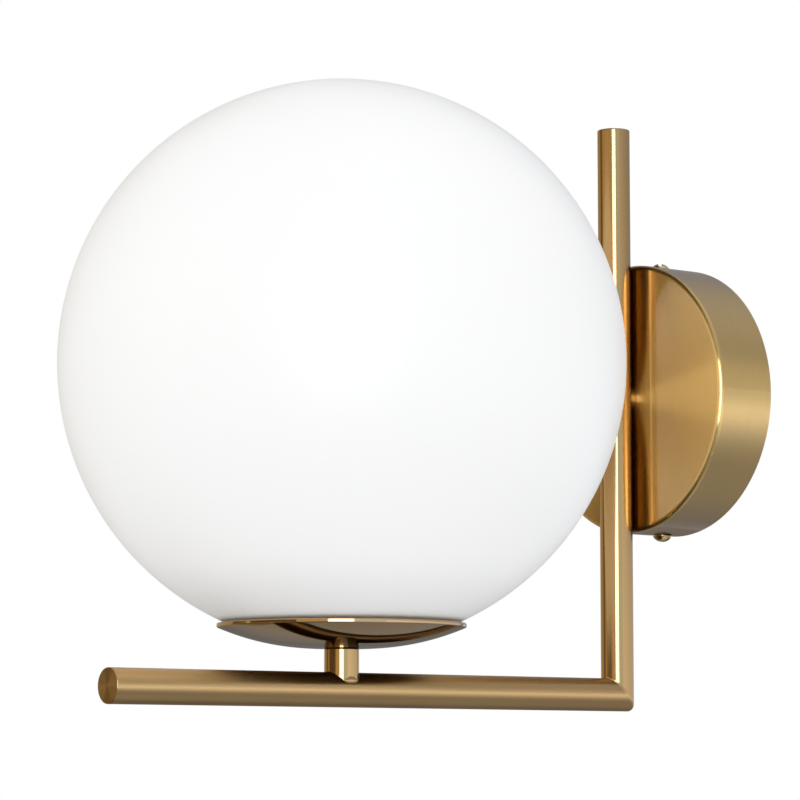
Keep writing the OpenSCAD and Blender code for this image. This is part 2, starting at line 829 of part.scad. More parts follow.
module bulb_insulator() {
  color([0.12, 0.12, 0.13]) translate([0, globe_y, bulb_z + contact_h])
    cylinder(r1 = contact_r + insulator_step, r2 = cap_foot_r, h = insulator_h);
}

module bulb_cap() {
  color([0.78, 0.78, 0.80]) translate([0, globe_y, cap_z]) {
    cylinder(r1 = cap_foot_r, r2 = cap_r, h = cap_taper_h);
    translate([0, 0, cap_taper_h]) cylinder(r = cap_r, h = cap_top - cap_z - cap_taper_h);
  }
}

module bulb_housing() {
  flare_h = shoulder_z - collar_h - cap_top;
  flare_w = bulb_r - neck_r;
  flare_r = (flare_h ^ 2 + flare_w ^ 2) / (2 * flare_w);
  color([0.94, 0.94, 0.93]) translate([0, globe_y, cap_top]) rotate_extrude() {
    intersection() {
      square([bulb_r, flare_h]);
      translate([bulb_r - flare_r, flare_h]) circle(flare_r, $fn = 240);
    }
    translate([0, flare_h]) square([bulb_r, collar_h]);
  }
}

module bulb_dome() {
  color(opal_white) translate([0, globe_y, shoulder_z]) difference() {
    sphere(bulb_r);
    sphere(bulb_r - dome_wall);
    translate([-bulb_d, -bulb_d, -2 * bulb_d]) cube([2 * bulb_d, 2 * bulb_d, 2 * bulb_d]);
  }
}

// Leads: each is a round section swept along its route

function unit(v) = v / norm(v);

// Points of the arc that rounds the corner at b between a and c
function corner_arc(a, b, c, steps) =
  let (
    u = unit(a - b),
    v = unit(c - b),
    half = acos(u * v) / 2,
    centre = b + unit(u + v) * lead_bend_r / sin(half),
    start = b + u * lead_bend_r / tan(half) - centre,
    axis = unit(cross(u, start)),
    turn = 180 - 2 * half
  )
  [for (i = [0 : steps]) centre + start * cos(turn * i / steps) + cross(axis, start) * sin(turn * i / steps)];

function rounded_route(route) = [
  route[0],
  for (i = [1 : len(route) - 2]) each corner_arc(route[i - 1], route[i], route[i + 1], 4),
  route[len(route) - 1]
];

function travel(points, i) = unit(points[min(i + 1, len(points) - 1)] - points[max(i - 1, 0)]);

// Side direction at each point, carried along so that the section never twists
function sides(points, i, side) =
  let (t = travel(points, i), s = unit(side - t * (t * side)))
  i == len(points) - 1 ? [s] : concat([s], sides(points, i + 1, s));

module swept_lead(route) {
  points = rounded_route(route);
  side = sides(points, 0, [0, 1, 0]);
  count = 8;
  last = len(points) - 1;
  rings = [
    for (i = [0 : last], k = [0 : count - 1])
      let (t = travel(points, i), a = k * 360 / count)
      points[i] + lead_r * (side[i] * cos(a) + cross(t, side[i]) * sin(a))
  ];
  walls = [
    for (i = [0 : last - 1], k = [0 : count - 1])
      let (next = (k + 1) % count)
      [i * count + k, (i + 1) * count + k, (i + 1) * count + next, i * count + next]
  ];
  ends = [[for (k = [0 : count - 1]) k], [for (k = [0 : count - 1]) last * count + count - 1 - k]];
  polyhedron(points = rings, faces = concat(walls, ends));
}

module live_lead() {
  color([0.45, 0.26, 0.14]) swept_lead(live_route);
}

module neutral_lead() {
  color([0.20, 0.38, 0.70]) swept_lead(neutral_route);
}

module earth_lead() {
  color([0.40, 0.62, 0.20]) swept_lead(earth_route);
}

wall_bracket();
earth_screw();
earth_washer();
earth_tag();
terminal_block();
terminal_sleeves();
terminal_screws();
block_screws();
canopy();
canopy_screw_top();
canopy_screw_bottom();
mount_collar();
mount_tube();
mount_washer();
mount_nut();
mount_bush();
upright_tube();
upright_plug();
arm_tube();
arm_plug();
stem();
stem_tube();
dish();
dish_nut();
gallery();
globe_gasket();
globe_ring();
globe();
holder_cup();
holder_insert();
holder_skirt();
holder_sleeve();
centre_contact();
bulb_dome();
bulb_housing();
bulb_cap();
bulb_insulator();
bulb_contact();
live_lead();
neutral_lead();
earth_lead();
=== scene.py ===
"""Looks of a globe wall lamp: brushed brass frame, polished dish, opal glass globe and its fittings.

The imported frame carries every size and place. This script measures what it needs on the frame's
nodes, builds finer pieces over them, dresses the rest and sets up the studio and the camera.
"""

import json
import logging
import math
from dataclasses import dataclass
from enum import Enum
from functools import cache
from typing import Callable, Iterable

import bmesh
import bpy
from mathutils import Matrix, Vector

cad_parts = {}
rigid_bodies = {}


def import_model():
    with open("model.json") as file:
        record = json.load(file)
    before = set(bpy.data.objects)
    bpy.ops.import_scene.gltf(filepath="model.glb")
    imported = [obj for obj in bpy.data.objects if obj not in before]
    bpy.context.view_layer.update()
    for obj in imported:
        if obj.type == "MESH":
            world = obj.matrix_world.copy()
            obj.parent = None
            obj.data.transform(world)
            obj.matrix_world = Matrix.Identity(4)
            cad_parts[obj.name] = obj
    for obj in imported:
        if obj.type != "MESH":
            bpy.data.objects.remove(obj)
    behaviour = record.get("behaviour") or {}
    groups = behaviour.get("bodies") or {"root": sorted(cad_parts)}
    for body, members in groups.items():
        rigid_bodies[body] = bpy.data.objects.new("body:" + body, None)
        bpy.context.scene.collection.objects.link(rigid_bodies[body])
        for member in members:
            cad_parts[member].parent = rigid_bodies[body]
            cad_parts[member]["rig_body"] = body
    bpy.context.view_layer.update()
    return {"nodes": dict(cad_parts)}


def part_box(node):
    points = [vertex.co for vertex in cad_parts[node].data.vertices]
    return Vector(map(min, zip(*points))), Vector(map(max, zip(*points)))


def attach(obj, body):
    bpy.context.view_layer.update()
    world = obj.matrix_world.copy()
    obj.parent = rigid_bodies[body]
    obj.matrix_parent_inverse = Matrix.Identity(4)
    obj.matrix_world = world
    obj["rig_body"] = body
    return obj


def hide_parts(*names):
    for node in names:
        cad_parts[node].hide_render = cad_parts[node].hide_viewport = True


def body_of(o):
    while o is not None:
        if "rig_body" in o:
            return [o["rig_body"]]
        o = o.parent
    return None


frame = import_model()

LOG = logging.getLogger("wall_lamp")

MM = 0.001
TINY = 1e-7
CLEARANCE = 0.05 * MM
ROUND_STEPS = 128
FINE_STEPS = 192
FLAT_ANGLE = math.radians(1.0)
EDGE_ANGLE = math.radians(35.0)
CUSTOM_NORMALS = "custom_normal"
HAND_MARKS = 60 * MM
FINGER_MARKS = 12 * MM
MARKED = (0.42, 0.72)
CONVEX = (0.52, 0.62)
WEAR_SCALE = 900.0

Colour = tuple[float, float, float]
Direction = tuple[float, float, float]
Ring = Callable[[float], Vector]
BMesh = bmesh.types.BMesh
Node = bpy.types.Node
Socket = bpy.types.NodeSocket


class Stand(Enum):
    """Which way the turning axis of a piece points."""

    UP = 0
    OUT = 90

    def matrix(self, foot: Vector) -> Matrix:
        """Return the matrix that stands a piece on its foot."""
        return Matrix.Translation(foot) @ Matrix.Rotation(math.radians(self.value), 4, "X")


class Body(Enum):
    """Bodies of the lamp that pieces ride on."""

    LAMP = "lamp"
    GLOBE = "globe"
    BULB = "bulb"
    SCREW_TOP = "canopy_screw_top"
    SCREW_BOTTOM = "canopy_screw_bottom"


@dataclass(frozen=True)
class Span:
    """Lowest and highest corner of one node."""

    low: Vector
    high: Vector

    @classmethod
    def of(cls, node: str) -> "Span":
        """Measure a node of the frame."""
        low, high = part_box(node)
        return cls(Vector(low), Vector(high))

    @property
    def centre(self) -> Vector:
        """Middle of the node's box."""
        return (self.low + self.high) / 2

    @property
    def size(self) -> Vector:
        """Lengths of the node's box."""
        return self.high - self.low


@dataclass(frozen=True)
class Datum:
    """Places that several pieces share, measured on the frame's nodes in metres."""

    tube_r: float
    upright_y: float
    upright_top: float
    arm_z: float
    arm_tip: float
    globe_y: float
    dish_z: float

    @classmethod
    def measured(cls) -> "Datum":
        """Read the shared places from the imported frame."""
        upright, tip = Span.of("upright_plug"), Span.of("arm_plug")
        dish = Span.of("dish")
        return cls(
            tube_r=upright.size.x / 2,
            upright_y=upright.centre.y,
            upright_top=upright.high.z,
            arm_z=tip.centre.z,
            arm_tip=tip.low.y,
            globe_y=dish.centre.y,
            dish_z=dish.low.z,
        )


# Shaping


class Outline:
    """Half section of a turned piece: x is the distance from the axis and z runs along it."""

    def __init__(self, x: float, z: float) -> None:
        """Start the outline at a point."""
        self.mesh = bmesh.new()
        self.first = self.last = self.mesh.verts.new((x, 0, z))
        self.rounds: list[tuple[bmesh.types.BMVert, float, int]] = []

    def line(self, x: float, z: float) -> "Outline":
        """Go straight on to a point.

        Args:
            x: Distance of the point from the axis.
            z: Height of the point.

        Returns:
            The outline itself.
        """
        point = self.mesh.verts.new((x, 0, z))
        self.mesh.edges.new((self.last, point))
        self.last = point
        return self

    def corner(self, x: float, z: float, cut: float, steps: int = 3) -> "Outline":
        """Go straight on to a corner that is rounded later.

        Args:
            x: Distance of the corner from the axis.
            z: Height of the corner.
            cut: Length that the rounding takes off each side.
            steps: Number of steps in the rounding.

        Returns:
            The outline itself.
        """
        return self.line(x, z).rounded(cut, steps)

    def rounded(self, cut: float, steps: int = 3) -> "Outline":
        """Have the last point rounded later."""
        self.rounds.append((self.last, cut, steps))
        return self

    def arc(self, x: float, z: float, turn: float, steps: int) -> "Outline":
        """Go round a centre.

        Args:
            x: Distance of the centre from the axis.
            z: Height of the centre.
            turn: Angle in radians, positive from outwards to upwards.
            steps: Number of steps in the arc.

        Returns:
            The outline itself.
        """
        spun = bmesh.ops.spin(
            self.mesh, geom=[self.last], cent=(x, 0, z), axis=(0, -1, 0), angle=turn, steps=steps
        )
        self.last = next(item for item in spun["geom_last"] if isinstance(item, bmesh.types.BMVert))
        return self

    def close(self) -> "Outline":
        """Join the last point to the first."""
        self.mesh.edges.new((self.last, self.first))
        return self

    def turned(self, steps: int = ROUND_STEPS) -> BMesh:
        """Round the corners and turn the outline about its axis.

        Args:
            steps: Number of steps in the full turn.

        Returns:
            The turned mesh, closed where the outline meets the axis or itself.
        """
        for vertex, cut, round_steps in self.rounds:
            bmesh.ops.bevel(
                self.mesh, geom=[vertex], offset=cut, offset_type="OFFSET", segments=round_steps,
                profile=0.5, affect="VERTICES", material=-1,
            )
        bmesh.ops.spin(
            self.mesh, geom=self.mesh.verts[:] + self.mesh.edges[:], cent=(0, 0, 0), axis=(0, 0, 1),
            angle=math.tau, steps=steps, use_merge=True,
        )
        return cleaned(self.mesh)


def cleaned(mesh: BMesh) -> BMesh:
    """Merge the doubles of a mesh and turn its faces outwards.

    Args:
        mesh: Mesh to clean in place.

    Returns:
        The same mesh.
    """
    bmesh.ops.remove_doubles(mesh, verts=mesh.verts, dist=TINY)
    bmesh.ops.dissolve_degenerate(mesh, edges=mesh.edges, dist=TINY)
    bmesh.ops.recalc_face_normals(mesh, faces=mesh.faces)
    return mesh


def lofted(rings: Iterable[Ring], closed: bool) -> BMesh:
    """Draw a skin from ring to ring.

    Args:
        rings: One function per ring, from an angle in radians to a point.
        closed: Whether the last ring joins the first.

    Returns:
        The skin as a mesh.
    """
    mesh = bmesh.new()
    angles = [math.tau * i / ROUND_STEPS for i in range(ROUND_STEPS)]
    shapes = iter(rings)
    ring = bmesh.ops.create_circle(mesh, radius=1, segments=ROUND_STEPS)["verts"]
    order = sorted(ring, key=lambda vertex: math.atan2(vertex.co.y, vertex.co.x) % math.tau)
    shape = next(shapes)
    for vertex, angle in zip(order, angles):
        vertex.co = shape(angle)
    first = edges = mesh.edges[:]
    for shape in shapes:
        count = len(mesh.verts)
        out = bmesh.ops.extrude_edge_only(mesh, edges=edges)["geom"]
        edges = [item for item in out if isinstance(item, bmesh.types.BMEdge)]
        mesh.verts.ensure_lookup_table()
        order = follow(order, mesh.verts[count:])
        for vertex, angle in zip(order, angles):
            vertex.co = shape(angle)
    if closed:
        bmesh.ops.bridge_loops(mesh, edges=first + edges)
    return cleaned(mesh)


def follow(old: list[bmesh.types.BMVert], new: Iterable[bmesh.types.BMVert]) -> list[bmesh.types.BMVert]:
    """Sort a new ring's vertices by the old vertices that they were extruded from.

    Args:
        old: Vertices of the ring before, in order.
        new: Vertices of the new ring.

    Returns:
        The new vertices in the same order.
    """
    fresh = set(new)
    return [next(edge.other_vert(v) for edge in v.link_edges if edge.other_vert(v) in fresh) for v in old]


# Node graphs


class Graph:
    """A node tree that is written in short calls."""

    def __init__(self, tree: bpy.types.NodeTree) -> None:
        """Take hold of a tree and empty it."""
        self.tree = tree
        self.tree.nodes.clear()

    def add(self, kind: str, **settings: object) -> Node:
        """Add a node.

        Args:
            kind: Blender's name of the node's type, without its ShaderNode.
            **settings: Properties of the node.

        Returns:
            The new node.
        """
        node = self.tree.nodes.new(f"ShaderNode{kind}")
        for key, value in settings.items():
            setattr(node, key, value)
        return node

    def feed(self, socket: Socket, source: object) -> None:
        """Link a socket to another, or set its value."""
        if isinstance(source, Socket):
            self.tree.links.new(source, socket)
        else:
            socket.default_value = source

    def wire(self, node: Node, **sources: object) -> Node:
        """Feed several inputs of a node.

        Args:
            node: The node.
            **sources: Sockets or values by input name, with underscores for spaces.

        Returns:
            The same node.
        """
        for key, source in sources.items():
            self.feed(node.inputs[key.replace("_", " ")], source)
        return node

    def math(self, operation: str, *sources: object) -> Socket:
        """Add a Math node.

        Args:
            operation: Name of the operation.
            *sources: Sockets or numbers for its inputs.

        Returns:
            The node's output.
        """
        node = self.add("Math", operation=operation)
        for socket, source in zip(node.inputs, sources):
            self.feed(socket, source)
        return node.outputs[0]

    def remap(self, value: object, low: float, high: float) -> Socket:
        """Spread a value between 0 and 1 over a range.

        Args:
            value: Socket with the value.
            low: Result at 0.
            high: Result at 1.

        Returns:
            The node's output.
        """
        return self.wire(self.add("MapRange"), Value=value, To_Min=low, To_Max=high).outputs["Result"]

    def around(self, value: object, middle: float, share: float) -> Socket:
        """Spread a value between 0 and 1 over a share of a middle to both sides of it."""
        return self.remap(value, middle * (1 - share), middle * (1 + share))

    def flat_length(self, x: object, y: object) -> Socket:
        """Return the length of two components."""
        squares = [self.math("MULTIPLY", part, part) for part in (x, y)]
        return self.math("SQRT", self.math("ADD", *squares))

    def ease(
        self, value: object, start: float, end: float, low: float, high: float
    ) -> Socket:
        """Ease from one level to another.

        Args:
            value: Socket with the value.
            start: Value where the easing starts.
            end: Value where it ends.
            low: Level before the start.
            high: Level after the end.

        Returns:
            The node's output.
        """
        node = self.add("MapRange", interpolation_type="SMOOTHSTEP")
        self.wire(node, Value=value, From_Min=start, From_Max=end, To_Min=low, To_Max=high)
        return node.outputs["Result"]

    def mix(self, factor: object, first: object, second: object) -> Socket:
        """Mix two colours.

        Args:
            factor: Share of the second colour.
            first: First colour.
            second: Second colour.

        Returns:
            The mixed colour.
        """
        node = self.add("Mix", data_type="RGBA")
        self.feed(node.inputs[0], factor)
        for socket, source in ((node.inputs[6], first), (node.inputs[7], second)):
            self.feed(socket, (*source, 1) if isinstance(source, tuple) and len(source) == 3 else source)
        return node.outputs[2]

    def vector(self, operation: str, first: object, second: object) -> Socket:
        """Add a Vector Math node with two inputs.

        Args:
            operation: Name of the operation.
            first: First vector.
            second: Second vector.

        Returns:
            The resulting vector.
        """
        node = self.add("VectorMath", operation=operation)
        self.feed(node.inputs[0], first)
        self.feed(node.inputs["Scale" if operation == "SCALE" else 1], second)
        return node.outputs[0]

    def noise(self, vector: object, scale: object, detail: float = 3) -> Socket:
        """Add a noise texture.

        Args:
            vector: Coordinates to read.
            scale: Scale of the noise per metre.
            detail: Octaves of the noise.

        Returns:
            The noise's value.
        """
        node = self.wire(self.add("TexNoise"), Vector=vector, Scale=scale, Detail=detail)
        return node.outputs["Fac"]

    def group(self, tree: bpy.types.NodeTree, **sources: object) -> Socket:
        """Place a node group.

        Args:
            tree: The group.
            **sources: Inputs by name, with underscores for spaces.

        Returns:
            The group's output.
        """
        return self.wire(self.add("Group", node_tree=tree), **sources).outputs[0]


def new_group(
    name: str, inputs: dict[str, str], outputs: dict[str, str]
) -> tuple[Graph, Node, Node]:
    """Start a shader node group.

    Args:
        name: Name of the group.
        inputs: Kinds of its inputs by name.
        outputs: Kinds of its outputs by name.

    Returns:
        Its graph, its input node and its output node.
    """
    tree = bpy.data.node_groups.new(name, "ShaderNodeTree")
    for label, kind in inputs.items():
        tree.interface.new_socket(name=label, in_out="INPUT", socket_type=f"NodeSocket{kind}")
    for label, kind in outputs.items():
        tree.interface.new_socket(name=label, in_out="OUTPUT", socket_type=f"NodeSocket{kind}")
    graph = Graph(tree)
    return graph, tree.nodes.new("NodeGroupInput"), tree.nodes.new("NodeGroupOutput")


@cache
def turned_lines() -> bpy.types.NodeTree:
    """Make the group of fine lines that run round an axis.

    Returns:
        A group from a vector, centred on the axis along its Z, to a line value near 0.5.
    """
    graph, inside, outside = new_group(
        "Turned Lines", {"Vector": "Vector", "Fineness": "Float", "Length": "Float"}, {"Lines": "Float"}
    )
    parts = graph.add("SeparateXYZ")
    graph.feed(parts.inputs[0], inside.outputs["Vector"])
    x, y, z = parts.outputs
    radius = graph.flat_length(x, y)
    safe = graph.math("MAXIMUM", radius, TINY)
    joined = graph.add("CombineXYZ")
    graph.feed(joined.inputs[0], graph.math("MULTIPLY", radius, inside.outputs["Fineness"]))
    for place, side in enumerate((x, y), start=1):
        share = graph.math("DIVIDE", side, safe)
        graph.feed(joined.inputs[place], graph.math("MULTIPLY", share, inside.outputs["Length"]))
    noise = graph.add("TexNoise", noise_dimensions="4D")
    rise = graph.math("MULTIPLY", z, inside.outputs["Fineness"])
    graph.wire(noise, Vector=joined.outputs[0], W=rise, Scale=1.0, Detail=3.0)
    graph.feed(outside.inputs["Lines"], noise.outputs["Fac"])
    return graph.tree


@cache
def handling_marks() -> bpy.types.NodeTree:
    """Make the group of faint smudges and fine scratches that handling leaves.

    Returns:
        A group from a vector to a mask near 0 with soft patches up to 1.
    """
    graph, inside, outside = new_group(
        "Handling Marks", {"Vector": "Vector", "Patch Size": "Float"}, {"Marks": "Float"}
    )
    scale = graph.math("DIVIDE", 1.0, inside.outputs["Patch Size"])
    patches = graph.noise(inside.outputs["Vector"], scale, 4.0)
    graph.feed(outside.inputs["Marks"], graph.ease(patches, *MARKED, 0.0, 1.0))
    return graph.tree


@cache
def speckle() -> bpy.types.NodeTree:
    """Make the group of fine grain that cast, moulded and glazed surfaces have.

    Returns:
        A group from a vector to a grain value near 0.5.
    """
    graph, inside, outside = new_group(
        "Speckle", {"Vector": "Vector", "Grain Size": "Float"}, {"Grain": "Float"}
    )
    scale = graph.math("DIVIDE", 1.0, inside.outputs["Grain Size"])
    graph.feed(outside.inputs["Grain"], graph.noise(inside.outputs["Vector"], scale, 2.0))
    return graph.tree


@cache
def edge_wear() -> bpy.types.NodeTree:
    """Make the group that finds the rubbed outer edges of a piece.

    Returns:
        A group from a vector to a mask of worn edges.
    """
    graph, inside, outside = new_group("Edge Wear", {"Vector": "Vector"}, {"Edges": "Float"})
    convex = graph.ease(graph.add("NewGeometry").outputs["Pointiness"], *CONVEX, 0.0, 1.0)
    breaks = graph.noise(inside.outputs["Vector"], WEAR_SCALE)
    graph.feed(outside.inputs["Edges"], graph.math("MULTIPLY", convex, breaks))
    return graph.tree


# Finishes


def start_material(
    name: str
) -> tuple[bpy.types.Material, Graph, Node, Socket]:
    """Start a material with its shader and its coordinates.

    Args:
        name: Name of the material.

    Returns:
        The material, its graph, its Principled shader and its Object coordinates.
    """
    material = bpy.data.materials.new(name)
    material.use_nodes = True
    graph = Graph(material.node_tree)
    shader, output = graph.add("BsdfPrincipled"), graph.add("OutputMaterial")
    graph.feed(output.inputs["Surface"], shader.outputs["BSDF"])
    return material, graph, shader, graph.add("TexCoord").outputs["Object"]


def raised(graph: Graph, shader: Node, height: Socket, depth: float) -> None:
    """Raise a shader's surface by a height value.

    Args:
        graph: Graph of the material.
        shader: Shader whose normal is bent.
        height: Value between 0 and 1.
        depth: Depth in metres between a height of 0 and 1.
    """
    bump = graph.wire(graph.add("Bump"), Height=height, Strength=1.0, Distance=depth)
    graph.feed(shader.inputs["Normal"], bump.outputs["Normal"])


@dataclass(frozen=True)
class TurnedMetal:
    """Metal with a finish of fine lines round one axis."""

    name: str
    colour: Colour
    roughness: float
    axis_foot: tuple[float, float, float] = (0.0, 0.0, 0.0)
    stand: Stand = Stand.UP
    stretch: float = 0.0
    fineness: float = 5000.0
    line_length: float = 3.0
    line_depth: float = 0.6e-6
    tone: float = 0.1
    line_share: float = 0.05
    end_painted_sheen: float = 1.0
    edge_shine: float = 1.0
    edge_rise: tuple[float, float] = (0.02, 0.2)
    edge_fall: tuple[float, float] = (0.9, 0.995)
    smudge: float = 0.2
    lacquer: float = 0.0
    lacquer_ior: float = 1.7
    lacquer_roughness: float = 0.04

    @property
    def axis(self) -> Direction:
        """Direction of the turning axis."""
        return (0.0, 0.0, 1.0) if self.stand is Stand.UP else (0.0, 1.0, 0.0)

    @cache
    def material(self) -> bpy.types.Material:
        """Build the material.

        Returns:
            The metal's material.
        """
        material, graph, shader, place = start_material(self.name)
        centred = graph.vector("SUBTRACT", place, self.axis_foot)
        if self.stand is Stand.OUT:
            turn = graph.add("VectorRotate", rotation_type="X_AXIS")
            graph.feed(turn.inputs["Vector"], centred)
            turn.inputs["Angle"].default_value = math.radians(-self.stand.value)
            centred = turn.outputs["Vector"]
        lines = graph.group(turned_lines(), Vector=centred, Fineness=self.fineness, Length=self.line_length)
        marks = graph.group(handling_marks(), Vector=place, Patch_Size=HAND_MARKS)
        dark = tuple(channel * (1 - self.tone) for channel in self.colour)
        light = tuple(min(channel * (1 + self.tone), 1.0) for channel in self.colour)
        colour = graph.mix(lines, dark, light)
        grained = graph.around(lines, self.roughness, self.line_share)
        rough = graph.math("ADD", grained, graph.math("MULTIPLY", marks, self.roughness * self.smudge))
        # Painted sheen: faces that look along the axis get a scaled copy of the colour, brighter on the
        # canopy's front face.
        if self.end_painted_sheen != 1.0:
            towards = graph.add("VectorMath", operation="DOT_PRODUCT")
            graph.feed(towards.inputs[0], graph.add("NewGeometry").outputs["Normal"])
            towards.inputs[1].default_value = self.axis
            along = graph.math("ABSOLUTE", towards.outputs["Value"])
            colour = graph.mix(along, colour, graph.vector("SCALE", colour, self.end_painted_sheen))
            rising = graph.ease(along, *self.edge_rise, 0.0, 1.0)
            falling = graph.ease(along, *self.edge_fall, 1.0, 0.0)
            edge = graph.math("MULTIPLY", rising, falling)
            rough = graph.math("MULTIPLY", rough, graph.remap(edge, 1.0, self.edge_shine))
        graph.wire(
            shader, Base_Color=colour, Roughness=rough, Metallic=1.0, Anisotropic=self.stretch,
            Coat_Weight=self.lacquer, Coat_IOR=self.lacquer_ior, Coat_Roughness=self.lacquer_roughness,
        )
        if self.stretch:
            self.lay_tangent(graph, shader, place)
        raised(graph, shader, lines, self.line_depth)
        return material

    def lay_tangent(self, graph: Graph, shader: Node, place: Socket) -> None:
        """Stretch the reflections across the lines.

        Args:
            graph: Graph of the material.
            shader: Shader whose tangent is laid.
            place: Object coordinates.
        """
        outwards = graph.vector("SUBTRACT", place, self.axis_foot)
        groove = graph.vector("CROSS_PRODUCT", outwards, self.axis)
        across = graph.vector("CROSS_PRODUCT", groove, graph.add("NewGeometry").outputs["Normal"])
        graph.feed(shader.inputs["Tangent"], graph.vector("NORMALIZE", across, (0.0, 0.0, 0.0)))


@dataclass(frozen=True)
class OpalGlass:
    """White glass with painted shade: greyer at its rim and towards its mouth, where the dish shades it."""

    mouth_z: float
    name: str = "opal_glass"
    colour: Colour = (0.97, 0.97, 0.968)
    roughness: float = 0.42
    shine: float = 0.22
    mouth_painted_shade: float = 0.86
    mouth_fade: float = 24 * MM
    rim_painted_shade: float = 0.965
    rim_start: float = 0.6
    cord_scale: float = 14.0
    cord_tone: float = 0.985
    cord_depth: float = 12e-6
    clean_share: float = 0.9
    marked_share: float = 1.15

    @cache
    def material(self) -> bpy.types.Material:
        """Build the material.

        Returns:
            The glass's material.
        """
        material, graph, shader, place = start_material(self.name)
        cords = graph.noise(place, self.cord_scale, 2.0)
        cloud = tuple(channel * self.cord_tone for channel in self.colour)
        height = graph.add("SeparateXYZ")
        graph.feed(height.inputs[0], place)
        facing = graph.add("LayerWeight")
        facing.inputs["Blend"].default_value = 0.5
        # Painted shade: the glass turns greyer towards its mouth, where the dish shades the globe.
        shade_end_z = self.mouth_z + self.mouth_fade
        mouth = graph.ease(height.outputs[2], self.mouth_z, shade_end_z, self.mouth_painted_shade, 1.0)
        # Painted shade: darker where the surface turns away from the view, at the globe's outline.
        rim = graph.ease(facing.outputs["Facing"], self.rim_start, 1.0, 1.0, self.rim_painted_shade)
        shade = graph.math("MULTIPLY", mouth, rim)
        white = graph.vector("SCALE", graph.mix(cords, cloud, self.colour), shade)
        marks = graph.group(handling_marks(), Vector=place, Patch_Size=HAND_MARKS)
        rough = graph.remap(marks, self.roughness * self.clean_share, self.roughness * self.marked_share)
        graph.wire(shader, Base_Color=white, Roughness=rough, Specular_IOR_Level=self.shine)
        raised(graph, shader, cords, self.cord_depth)
        return material


@dataclass(frozen=True)
class Moulded:
    """Plain moulded, glazed, plated or cast surface with a fine grain."""

    name: str
    colour: Colour
    roughness: float
    metallic: float = 0.0
    coat: float = 0.0
    grain_size: float = 0.6e-3
    grain_depth: float = 4e-6
    grain_share: float = 0.15
    coat_roughness: float = 0.06
    tone: float = 0.06
    worn: Colour | None = None

    @cache
    def material(self) -> bpy.types.Material:
        """Build the material.

        Returns:
            The surface's material.
        """
        material, graph, shader, place = start_material(self.name)
        grain = graph.group(speckle(), Vector=place, Grain_Size=self.grain_size)
        marks = graph.group(handling_marks(), Vector=place, Patch_Size=FINGER_MARKS)
        dark = tuple(channel * (1 - self.tone) for channel in self.colour)
        body = graph.mix(marks, self.colour, dark)
        if self.worn:
            body = graph.mix(graph.group(edge_wear(), Vector=place), body, self.worn)
        graph.wire(
            shader, Base_Color=body, Roughness=graph.around(grain, self.roughness, self.grain_share),
            Metallic=self.metallic, Coat_Weight=self.coat, Coat_Roughness=self.coat_roughness,
        )
        raised(graph, shader, grain, self.grain_depth)
        return material


@dataclass(frozen=True)
class StripedInsulation:
    """Insulation in two colours, half and half round the lead."""

    name: str = "earth_insulation"
    ground: Colour = (0.04, 0.33, 0.06)
    stripe: Colour = (0.85, 0.72, 0.05)
    stripe_from: float = 0.25
    smooth: float = 0.35
    rough: float = 0.5
    grain_size: float = 0.4e-3
    grain_depth: float = 3e-6

    @cache
    def material(self) -> bpy.types.Material:
        """Build the material.

        Returns:
            The insulation's material.
        """
        material, graph, shader, place = start_material(self.name)
        normal = graph.add("SeparateXYZ")
        graph.feed(normal.inputs[0], graph.add("TexCoord").outputs["Normal"])
        side = graph.math("ADD", normal.outputs[0], graph.math("ADD", normal.outputs[1], normal.outputs[2]))
        half = graph.math("GREATER_THAN", side, self.stripe_from)
        grain = graph.group(speckle(), Vector=place, Grain_Size=self.grain_size)
        rough = graph.remap(grain, self.smooth, self.rough)
        graph.wire(shader, Base_Color=graph.mix(half, self.ground, self.stripe), Roughness=rough)
        raised(graph, shader, grain, self.grain_depth)
        return material


# Pieces


def new_object(name: str, mesh: BMesh) -> bpy.types.Object:
    """Put a mesh in the scene.

    Args:
        name: Name of the object.
        mesh: Its shape, which is used up.

    Returns:
        The new object.
    """
    data = bpy.data.meshes.new(name)
    mesh.to_mesh(data)
    mesh.free()
    thing = bpy.data.objects.new(name, data)
    bpy.context.scene.collection.objects.link(thing)
    return thing


def make_piece(
    name: str,
    mesh: BMesh,
    finishes: Iterable[object],
    body: Body,
    stands_for: Iterable[str],
    place: Matrix = Matrix.Identity(4),
    crease: float = 35.0,
) -> bpy.types.Object:
    """Turn a mesh into a finished piece of the lamp.

    Args:
        name: Name of the piece.
        mesh: Its shape, which is used up.
        finishes: Its finishes, one per material slot.
        body: Body that it rides on.
        stands_for: Nodes of the frame that it replaces.
        place: Matrix that puts the shape in its place.
        crease: Angle in degrees past which an edge stays crisp.

    Returns:
        The new object.
    """
    bmesh.ops.transform(mesh, matrix=place, verts=mesh.verts)
    piece = new_object(name, mesh)
    data = piece.data
    if CUSTOM_NORMALS in data.attributes:
        data.attributes.remove(data.attributes[CUSTOM_NORMALS])
    data.shade_smooth()
    data.set_sharp_from_angle(angle=math.radians(crease))
    for finish in finishes:
        data.materials.append(finish.material())
    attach(piece, body.value)
    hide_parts(*stands_for)
    LOG.info("%s: %d faces, rides on %s", name, len(data.polygons), body.value)
    return piece


def level_normals(piece: bpy.types.Object) -> None:
    """Keep wide faces flat in their shading where they meet narrow rounds."""
    modifier = piece.modifiers.new("Level normals", "WEIGHTED_NORMAL")
    modifier.keep_sharp = True


def dress(node: str, finish: object) -> None:
    """Give a node of the frame its finish.

    Args:
        node: Name of the node.
        finish: Finish for all its material slots.
    """
    target = bpy.data.objects[node]
    for slot in target.material_slots:
        slot.material = finish.material()
    LOG.info("%s: dressed in %s", node, finish.name)


# Tube frame


